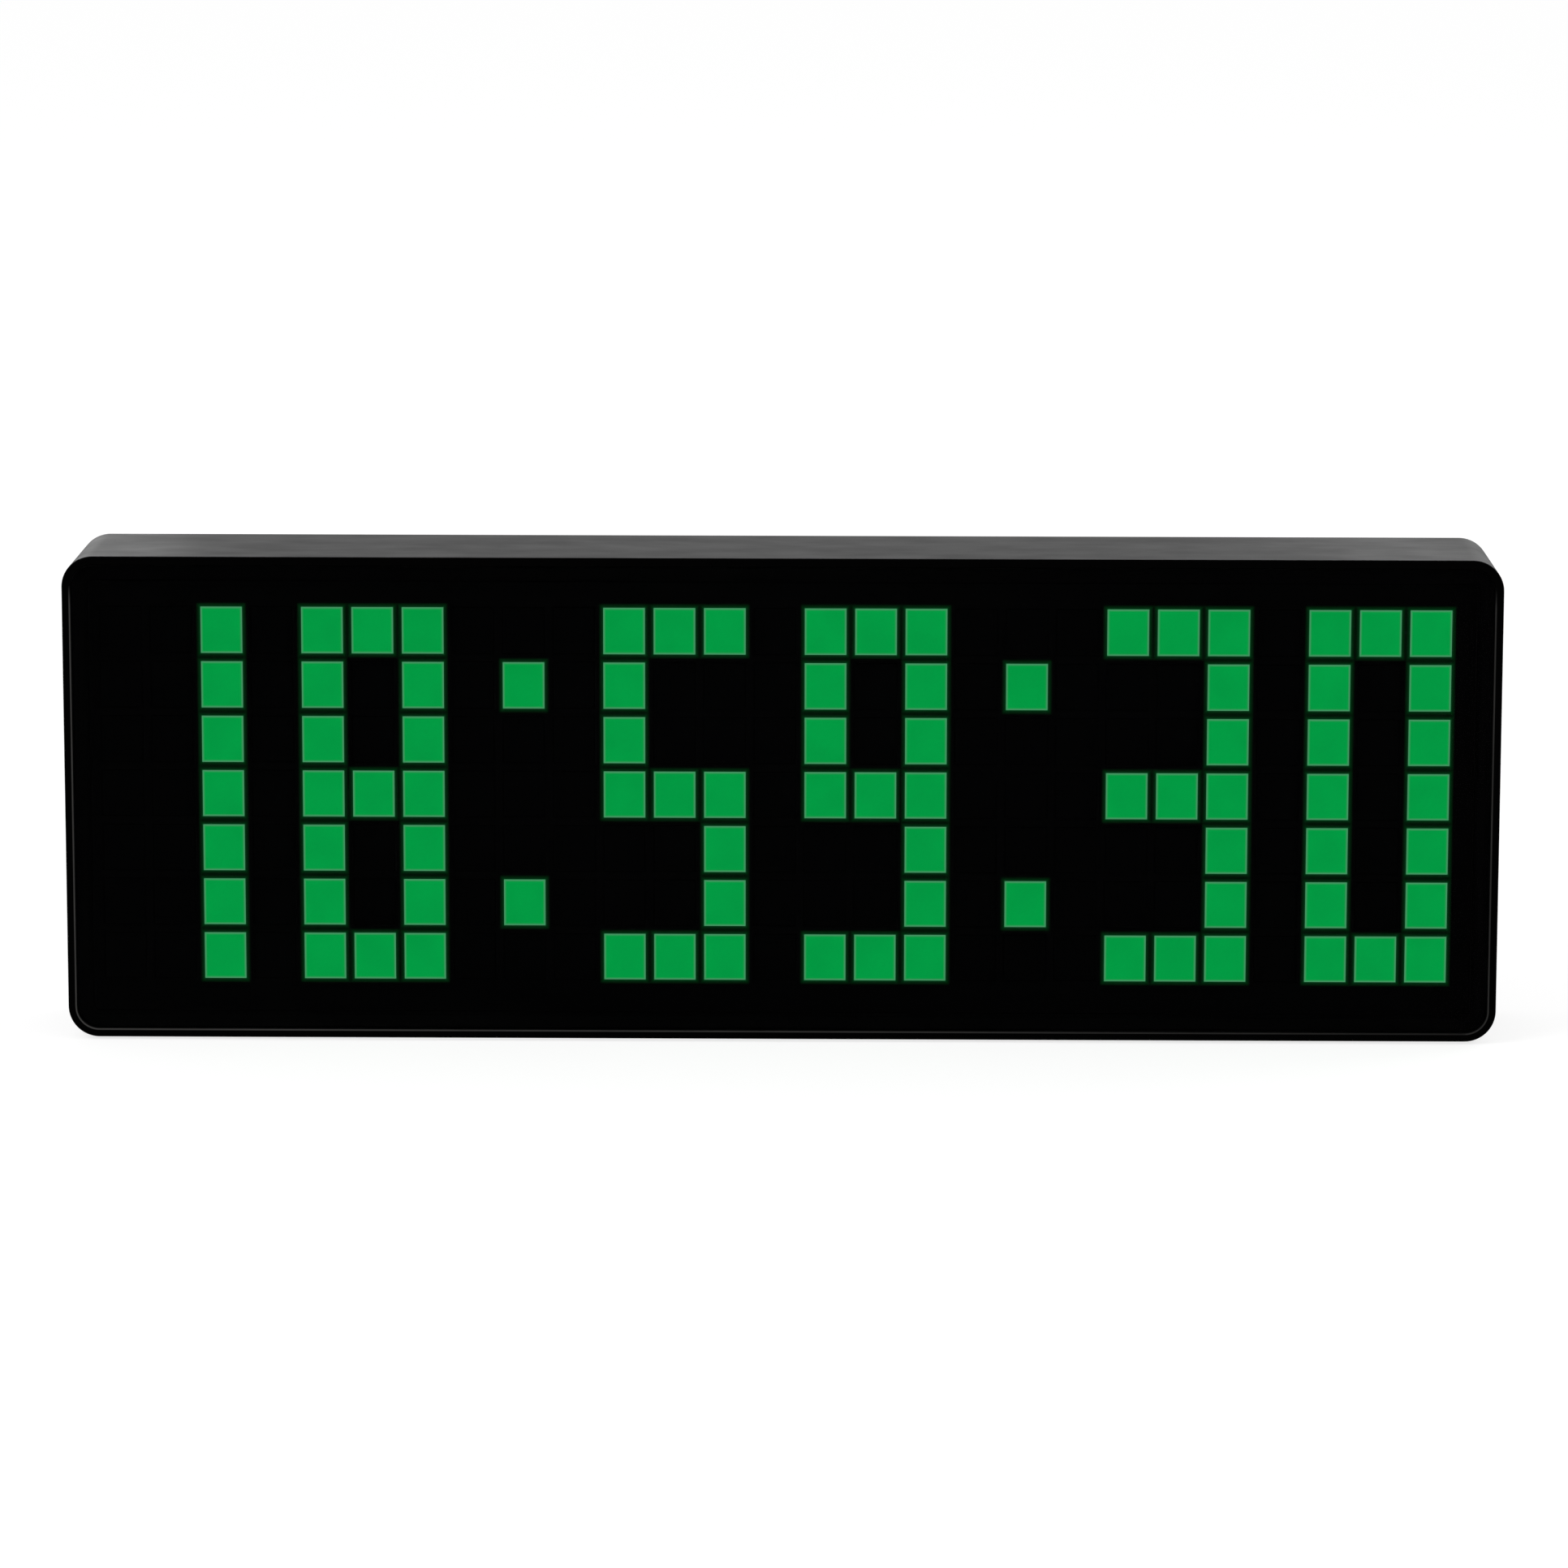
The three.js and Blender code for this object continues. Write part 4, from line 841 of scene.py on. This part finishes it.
cover_middle, cover_half, _, cover_back = measured(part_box("rear_cover"))
cover_corner = case_corner - (case_half_width - cover_half[0])
cover_inner = cover_back - 0.0026
cover_edge, cover_edge_flat = 0.0003, 0.0008
hole_lip = 0.0002
pocket_radius, pocket_floor = 0.0026, 0.016
buttons = [measured(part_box(f"button_{name}")) for name in button_names]
button_places = [button[0] for button in buttons]
button_front, button_back = buttons[0][2:]
button_radius, button_gap = 0.0036, 0.0003
panel_floor, panel_margin = cover_back - 0.001, 0.004
panel_middle = sum(button_places) / 4
panel_half = button_radius + panel_margin + np.abs(button_places[-1] - button_places[0]) / 2
bay_middle, bay_half, bay_front, bay_back = measured(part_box("battery_cover"))
bay_corner, bay_gap = 0.0025, 0.00025
bay_floor = bay_front - 0.0002
bay_bore_radius, bay_bore_end = 0.00115, 0.0116
cell_middle, cell_half = measured(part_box("backup_cell"))[:2]
cell_opening = cell_half[0] + 0.002
bay_screw = np.array([measured(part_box("battery_cover_screw"))[0][0], bay_middle[1]])
socket_middle, socket_half, socket_front, socket_floor = measured(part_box("power_socket"))
socket_rim, socket_gap, socket_roundness = 0.0022, 0.00025, 0.96
main_posts = [(x, z) for z in (0.0216, 0.0616) for x in (-0.055, 0.055)]
vent_half, vent_corner, vent_x, vent_pitch = (0.0009, 0.011), 0.0005, 0.104, 0.0042
vent_middles = [
    (side * vent_x + slot * vent_pitch, case_middle[1]) for side in (-1, 1) for slot in range(-3, 4)
]
sound_middle = measured(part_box("buzzer"))[0]
sound_radius, sound_ring = 0.0009, 0.0036
sound_angles = np.arange(6) * math.pi / 3
sound_places = np.stack([np.cos(sound_angles), np.sin(sound_angles)], axis=1) * sound_ring
sound_places = [sound_middle, *(sound_places + sound_middle)]
# Bosses: outer radius, depth of the free end, bore radius and depth of the bore's end.
pocket_boss = (0.0033, 0.0144, 0.0015, pocket_floor)
main_boss = (0.0025, 0.009, 0.00115, 0.0144)
bay_boss = (0.0025, 0.011, 0, 0.011)
grained_black = (0.017, 0.017, 0.0175)


def eased(start, near_depth, edge, far_depth, steps=3):
    """Profile of a wall: along the surface from a start, over a rounded edge, then straight in."""
    return rounded([(start, near_depth, 0), (0, near_depth, edge), (0, far_depth, 0)], steps)


def oval(growth):
    """The socket's flattened outline, grown evenly, with its ends almost half circles."""
    half_width, half_height = socket_half + growth
    return rounded_rectangle(half_width, half_height, half_height * socket_roundness, 8)


def bosses(sizes, places, steps, closed=True):
    """Bosses on the cover's inside, turned from one profile. Their bores are closed or open."""
    outer, end, bore, bore_end = sizes
    profile = [(outer, cover_inner), (outer, end), (bore, end), (bore, bore_end)]
    profile += [(0, bore_end)] * closed
    return [carry(circle(0, steps), profile, place) for place in places]


def holes(outline, near_depth, far_depth, *places):
    """Holes of one outline, each from a rounded lip at one depth straight in to another."""
    profile = eased(hole_lip * 2, near_depth, hole_lip, far_depth)
    return [carry(outline, profile, place) for place in places]


cover_profile = eased(-cover_edge_flat, cover_back, cover_edge, cover_inner, 4)
cover_outline = rounded_rectangle(*cover_half, cover_corner, 16)
cover_rim = carry(cover_outline, cover_profile, cover_middle)
panel_outline = rounded_rectangle(*panel_half, button_radius, 8)
panel = holes(panel_outline, cover_back, panel_floor, panel_middle)
button_outline = circle(button_radius + button_gap, 8)
button_holes = holes(button_outline, panel_floor, cover_inner, *button_places)
bay_outline = rounded_rectangle(*(bay_half + bay_gap), bay_corner + bay_gap, 6)
bay = holes(bay_outline, cover_back, bay_floor, bay_middle)
cell_outline = rounded_rectangle(cell_opening, cell_opening, bay_corner, 6)
cell_hole = holes(cell_outline, bay_floor, cover_inner, cell_middle)
bore_profile = [(bay_bore_radius, bay_floor), (bay_bore_radius, bay_bore_end), (0, bay_bore_end)]
bay_bore = carry(circle(0, 6), bore_profile, bay_screw)
socket_recess = holes(oval(socket_rim), cover_back, socket_floor, socket_middle)
socket_hole = bar(oval(socket_gap), socket_floor, cover_inner, socket_middle)[0]
pockets = holes(circle(pocket_radius), cover_back, pocket_floor, *cover_post_places)
vent_outline = rounded_rectangle(*vent_half, vent_corner, 3)
vents = holes(vent_outline, cover_back, cover_inner, *vent_middles)
sound_holes = holes(circle(sound_radius, 4), cover_back, cover_inner, *sound_places)
pocket_bosses = bosses(pocket_boss, cover_post_places, 7, closed=False)
inner_bosses = bosses(main_boss, main_posts, 6) + bosses(bay_boss, [bay_screw], 6)
outside = [*panel, *bay, *socket_recess, *pockets, *vents, *sound_holes]
through = [*button_holes, *cell_hole, socket_hole, *vents, *sound_holes]
cover_flats = [
    [cover_rim[:, 0]] + [hole[:, 0] for hole in outside],
    [panel[0][:, -1]] + [hole[:, 0] for hole in button_holes],
    [bay[0][:, -1], cell_hole[0][:, 0], bay_bore[:, 0]],
    [socket_recess[0][:, -1], socket_hole[:, 0]],
    *([pocket[:, -1], bore[:, -1]] for pocket, bore in zip(pockets, pocket_bosses)),
    [cover_rim[:, -1]] + [hole[:, -1] for hole in through]
    + [boss[:, 0] for boss in pocket_bosses + inner_bosses],
]
cover_grids = [cover_rim, *panel, *bay, bay_bore, *socket_recess, *pockets]
cover_grids += [*pocket_bosses, *inner_bosses, *through]
cover = moulding("rear_cover_moulding", cover_grids, cover_flats)
cover_grain = moulded("cover_grain", grained_black, 0.28, 0.55, 1700, 0.00006)
fit(cover, "case_plastic", [cover_grain], "rear_cover")

# Cover screws
# Six blackened steel screws with pan heads and pressed cross recesses. They pass through the
# rear cover's pockets into the case's posts.

steel_black = (0.045, 0.044, 0.045)
# Shares of the head's radius.
cross_half_width, cross_half_length, head_flat = 0.15, 0.6, 0.8
# Rings of the recess, as shares of the cross's reach and of the head's height.
recess_reach, recess_level = np.array([0, 0.8, 0.96, 1, 1.05]), [0.3, 0.4, 0.94, 0.985, 1]
# Rings of the thread, the share that each groove takes, and the tip's taper and bluntness.
thread_rings, thread_groove, tip_taper, tip_blunt = 40, 0.12, 8, 0.15
# Head radius, depths of the head's top and of its seat, shank radius, depth of the tip.
cover_screw = (0.0023, 0.0178, 0.0162, 0.00125, 0.0042)


def cross_outline():
    """Angles once round a cross, with one on each of its corners, and its reach at each.

    At each angle the cross reaches as far as the longer of its two arms.
    """
    outer = math.atan(cross_half_width / cross_half_length)
    corners = [0, outer, math.pi / 4, math.pi / 2 - outer, math.pi / 2]
    quarter = np.interp(np.arange(12), [0, 2, 6, 10, 12], corners)
    angle = (quarter + np.arange(4)[:, None] * math.pi / 2).reshape(-1, 1)
    across = np.maximum(np.abs(np.sin(angle)), 1e-9)
    along = np.maximum(np.abs(np.cos(angle)), 1e-9)
    level = np.minimum(cross_half_width / across, cross_half_length / along)
    upright = np.minimum(cross_half_width / along, cross_half_length / across)
    return angle, np.maximum(level, upright)


def screw(place, head_radius, head_top, seat, shank_radius, tip):
    """A screw as one grid turned about its axis: crowned head with a cross recess, and shank.

    From the axis, the rings climb from the recess's floor up its leaning flank to the flat of
    the head, then follow a quarter ellipse at its edge and the zigzag of the thread.
    """
    angle, reach = cross_outline()
    turn = np.linspace(0, np.pi / 2, 7)
    recess = reach * recess_reach
    edge = head_flat + (1 - head_flat) * np.sin(turn)
    way = np.linspace(0, 1, thread_rings)
    zigzag = 1 - thread_groove * (np.arange(thread_rings) % 2)
    thread = shank_radius * zigzag * np.minimum(1, (1 - way) * tip_taper + tip_blunt)
    outer = np.tile([*edge * head_radius, *thread, 0], (len(angle), 1))
    radius = np.concatenate([recess * head_radius, outer], axis=1)
    head_y = seat + (head_top - seat) * np.array([*recess_level, *np.cos(turn)])
    y = np.concatenate([head_y, seat + (tip - seat) * way, [tip]])
    x, z = place[0] + radius * np.cos(angle), place[1] + radius * np.sin(angle)
    return np.stack(np.broadcast_arrays(x, y, z), axis=-1)


def add_screw(name, place, sizes):
    """A blackened screw of a kind, for its CAD node."""
    fit(moulding(f"{name}_turned", [screw(place, *sizes)]), "black_steel", [blackened_steel], name)


blackened_steel = metal("blackened_steel", steel_black, 0.38)
for number, place in enumerate(cover_post_places, 1):
    add_screw(f"cover_screw_{number}", place, cover_screw)

# Power socket
# A flattened tube of drawn steel with a black tongue inside, which carries gold-plated
# contacts. It is soldered to the main board and ends flush in its recess in the cover.

socket_wall = 0.00035
socket_base = 0.0097
tongue_half = (0.0032, 0.00035)
tongue_end, tongue_corner, tongue_edge = 0.0165, 0.0003, 0.0001
contact_half, contact_end, contact_root = (0.00025, 0.00004), 0.0162, 0.011
contact_xs = np.linspace(-0.0025, 0.0025, 6)
# Margins by which faces of the tongue and of the contacts are told from the shell's.
tongue_room, contact_proud, past_base = 0.0005, 0.000005, 0.00001

shell_profile = rounded([
    (0, socket_front, 0),
    (0, socket_floor, socket_wall / 3),
    (-socket_wall, socket_floor, socket_wall / 3),
    (-socket_wall, socket_base, 0),
], 3)
tongue_profile = eased(-tongue_edge * 2, tongue_end, tongue_edge, socket_base - tongue_edge)
tongue_outline = rounded_rectangle(*tongue_half, tongue_corner, 3)
shell = carry(oval(0), shell_profile, socket_middle)
tongue = carry(tongue_outline, tongue_profile, socket_middle)
contact_places = [
    socket_middle + (x, side * tongue_half[1]) for x in contact_xs for side in (-1, 1)
]
contacts, contact_ends = bars_of(*(
    bar(square(*contact_half), contact_end, contact_root, place) for place in contact_places
))
socket_flats = ends_of(shell) + ends_of(tongue) + contact_ends
socket = moulding("power_socket_shell", [shell, tongue, *contacts], socket_flats)


def on_tongue(x, y, z):
    """Faces of the tongue and of its contacts."""
    across = np.abs(x - socket_middle[0]) < tongue_half[0] * 1.01
    beside = np.abs(z - socket_middle[1]) < tongue_room
    return across & beside & (y > socket_base + past_base)


def on_contacts(x, y, z):
    """Faces of the contacts, which stand just proud of the tongue."""
    proud = np.abs(z - socket_middle[1]) > tongue_half[1] + contact_proud
    return on_tongue(x, y, z) & proud


finish_where(socket, 1, on_tongue)
finish_where(socket, 2, on_contacts)
drawn_steel = metal("drawn_steel", (0.5, 0.5, 0.51), 0.27, (1, 8, 1))
tongue_plastic = moulded("tongue_plastic", chip_black, 0.35, 0.45)
gold_plate = metal("gold_plate", (0.75, 0.5, 0.18), 0.25)
fit(socket, "plain_steel", [drawn_steel, tongue_plastic, gold_plate], "power_socket")

# Buttons
# Four moulded push buttons of black plastic with dished caps, each with one plain raised mark
# painted grey. A collar behind the cover keeps them in, and a stem presses the switch.

button_black = (0.02, 0.02, 0.0205)
paint_grey = (0.32, 0.32, 0.31)
cap_edge = 0.0003
cap_dish, dish_radius = 0.00028, 0.0030
collar_top, collar_radius, collar_height = button_back - 0.0026, 0.0048, 0.001
collar_edge = 0.0001
stem_radius, stem_edge = 0.0014, 0.0002
mark_top, mark_foot = button_back - 0.00005, button_back - 0.0006
mark_reach, mark_line, mark_corner = 0.0013, 0.00025, 0.0002
dot_radius, ring_hole = 0.0006, 0.0008


def button_cap(place):
    """A cap, collar and stem turned about the button's axis. The dish deepens as a parabola."""
    share = np.linspace(0, 1, 10)
    dish_depth = button_back - cap_dish * (1 - share ** 2)
    sides = rounded([
        (dish_radius, button_back, 0),
        (button_radius, button_back, cap_edge),
        (button_radius, collar_top, 0),
        (collar_radius, collar_top, collar_edge),
        (collar_radius, collar_top - collar_height, collar_edge),
        (stem_radius, collar_top - collar_height, 0),
        (stem_radius, button_front, stem_edge),
        (0, button_front, 0),
    ], 4)
    dish = np.stack([dish_radius * share, dish_depth], axis=1)
    return carry(circle(0, 12), np.concatenate([dish, sides]), place)


def plus_sign(reach, line):
    """The outline of a plus as its twelve corners, three for each quarter."""
    arm = np.array([(reach, -line), (reach, line), (line, line)])
    quarters = [arm, arm[:, ::-1] * (-1, 1), -arm, arm[:, ::-1] * (1, -1)]
    return np.concatenate(quarters), np.zeros((12, 2)), 0


def mark_on(name, place):
    """The raised mark of a button, sunk into its dish: a dot, a bar, a plus or a ring."""
    if name == "set":
        inner = [(ring_hole, mark_foot), (ring_hole, mark_top)]
        outer = [(mark_reach, mark_top), (mark_reach, mark_foot)]
        return carry(circle(), [*inner, *outer, inner[0]], place), []
    outline = {
        "alarm": circle(dot_radius, 6),
        "down": rounded_rectangle(mark_reach, mark_line, mark_corner, 3),
        "up": plus_sign(mark_reach, mark_line),
    }[name]
    return bar(outline, mark_top, mark_foot, place)


button_plastic = moulded("button_plastic_black", button_black, 0.35, 0.38, 2200)
mark_paint = moulded("mark_paint", paint_grey, 0.3, 0.55, 1800, 0.00001)
for name, place in zip(button_names, button_places):
    mark, mark_ends = mark_on(name, place)
    button = moulding(f"button_{name}_cap", [button_cap(place), mark], mark_ends, sharp=35)
    finish_where(button, 1, lambda x, y, z: np.abs(y - mark_top) < 1e-6)
    finishes = [button_plastic, mark_paint]
    fit(button, "button_plastic", finishes, f"button_{name}", body=f"{name}_button")

# Battery cover
# A flat lid of the cover's plastic over the coin cell, flush in its bay and held by one small
# screw in a counterbore. Four moulded grip lines run across its free end.

lid_edge, lid_edge_flat = 0.00025, 0.0006
seat_depth = bay_back - 0.0011
seat_radius, lid_bore_radius = 0.00215, 0.00115
grip_half, grip_corner, grip_floor = (0.00035, 0.006), 0.0003, bay_back - 0.0004
grip_inset, grip_pitch = 0.004, 0.0018
small_screw = (0.0019, 0.0179, 0.0171, 0.00095, 0.0126)

lid_profile = eased(-lid_edge_flat, bay_back, lid_edge, bay_front)
lid_rim = carry(rounded_rectangle(*bay_half, bay_corner, 8), lid_profile, bay_middle)
lid_seat = holes(circle(seat_radius), bay_back, seat_depth, bay_screw)[0]
lid_bore = bar(circle(lid_bore_radius), seat_depth, bay_front, bay_screw)[0]
grip_right = bay_middle[0] + bay_half[0] - grip_inset
grip_places = [(grip_right - step * grip_pitch, bay_middle[1]) for step in range(4)]
grip_outline = rounded_rectangle(*grip_half, grip_corner, 3)
grips = holes(grip_outline, bay_back, grip_floor, *grip_places)
lid_flats = [
    [lid_rim[:, 0], lid_seat[:, 0]] + [grip[:, 0] for grip in grips],
    [lid_seat[:, -1], lid_bore[:, 0]],
    [lid_rim[:, -1], lid_bore[:, -1]],
    *([grip[:, -1]] for grip in grips),
]
lid = moulding("battery_cover_lid", [lid_rim, lid_seat, lid_bore, *grips], lid_flats)
fit(lid, "case_plastic", [cover_grain], "battery_cover")
add_screw("battery_cover_screw", bay_screw, small_screw)

# Feet
# Four discs of soft black rubber, moulded with a ring groove and glued into recesses in the
# underside of the case.

foot_top, foot_radius = 0.0014, 0.0047
groove_outer, groove_inner, groove_depth = 0.0034, 0.0027, 0.0003
groove_edge = 0.0001
rubber_black = (0.016, 0.016, 0.016)

foot_profile = rounded([
    (0, foot_top, 0),
    (foot_radius, foot_top, groove_edge * 2),
    (foot_radius, 0, groove_edge * 4),
    (groove_outer, 0, groove_edge),
    (groove_outer, groove_depth, 0),
    (groove_inner, groove_depth, 0),
    (groove_inner, 0, groove_edge),
    (0, 0, 0),
], 4)
rubber = moulded("foot_rubber", rubber_black, 0.15, 0.75, 3500, 0.00004)
for number, place in enumerate(foot_places, 1):
    foot_grid = carry(circle(0, 12), foot_profile, place)[..., [0, 2, 1]]
    fit(moulding(f"foot_{number}_rubber", [foot_grid]), "rubber_feet", [rubber], f"foot_{number}")

# Floor, light and camera
# A pale floor and plain white surroundings under soft light. Seen by the camera, in gloss and
# through the window they are white; what the object receives stays at a plain level.

floor_reach = 6
floor_shine = 0.78
floor_white, floor_shade = (0.8, 0.8, 0.8, 1), (0.34, 0.34, 0.34, 1)
surround_light = 0.62
lamp_target = Vector((0, 0, 0.05))
lens_pixels = 8160.7
image_pixels = 1932
sensor_width = 36
camera_azimuth = math.radians(0.667)
camera_elevation = math.radians(9.892)
camera_roll = math.radians(0.085)
camera_distance = 1.40166
camera_target = Vector((0.00029, 0, 0.05199))


def seen_directly(tree):
    """1 on a ray from the camera, off gloss or through something clear, and 0 on lighting rays."""
    path = node(tree, "LightPath", {}).outputs
    either = combined(tree, "MAXIMUM", path["Is Camera Ray"], path["Is Glossy Ray"])
    return combined(tree, "MAXIMUM", either, path["Is Transmission Ray"])


def white_surroundings():
    """World: plain light for the object, pure white where it is seen."""
    world = bpy.data.worlds.new("surroundings")
    world.use_nodes = True
    bpy.context.scene.world = world
    tree = world.node_tree
    strength = ranged(tree, seen_directly(tree), surround_light, 1, 0, 1)
    tree.links.new(strength, tree.nodes["Background"].inputs["Strength"])
    tree.nodes["Background"].inputs["Color"].default_value = (1, 1, 1, 1)


def pale_floor():
    """Floor: mostly bright where it is seen, with enough of its own shade to keep the shadow."""
    corners = np.array([(-1, -1, 0), (1, -1, 0), (1, 1, 0), (-1, 1, 0)]) * floor_reach
    mesh = bpy.data.meshes.new("floor")
    mesh.from_pydata(corners.tolist(), [], [(0, 1, 2, 3)])
    constants = {"Roughness": 0.9, "Specular IOR Level": 0, "Emission Color": (1, 1, 1, 1)}
    material, tree = surface("pale_floor", constants)
    seen = seen_directly(tree)
    shine = ranged(tree, seen, 0, floor_shine, 0, 1)
    shade = blended(tree, seen, floor_white, floor_shade)
    mesh.materials.append(feed(material, {"Emission Strength": shine, "Base Color": shade}))
    placed("floor", mesh)


def softbox(name, place, size, power):
    """A square area lamp aimed at the clock's middle."""
    lamp = bpy.data.lights.new(name, "AREA")
    lamp.size = size
    lamp.energy = power
    made = placed(name, lamp)
    made.location = place
    aim = lamp_target - made.location
    made.rotation_euler = aim.to_track_quat("-Z", "Y").to_euler()


def set_camera():
    """Camera on its line of sight at the photograph's angles, rolled about that line."""
    lens = bpy.data.cameras.new("camera")
    lens.sensor_width = sensor_width
    lens.lens = lens_pixels / image_pixels * sensor_width
    camera = placed("camera", lens)
    level = math.cos(camera_elevation)
    away = Vector((
        math.sin(camera_azimuth) * level,
        -math.cos(camera_azimuth) * level,
        math.sin(camera_elevation),
    ))
    camera.location = camera_target + away * camera_distance
    sight = (-away).to_track_quat("-Z", "Y").to_matrix().to_4x4()
    camera.rotation_mode = "QUATERNION"
    camera.rotation_quaternion = (sight @ Matrix.Rotation(camera_roll, 4, "Z")).to_quaternion()
    bpy.context.scene.camera = camera


white_surroundings()
pale_floor()
softbox("lamp_left", (-1.1, -0.9, 1.3), 0.9, 10)
softbox("lamp_right", (1.2, 0.9, 1.2), 0.9, 5)
softbox("lamp_low_left", (-0.18, 0.25, 0.13), 0.06, 0.02)
softbox("lamp_low_right", (0.22, 0.6, 0.18), 0.15, 0.06)
set_camera()
bpy.context.scene.view_settings.view_transform = "Standard"
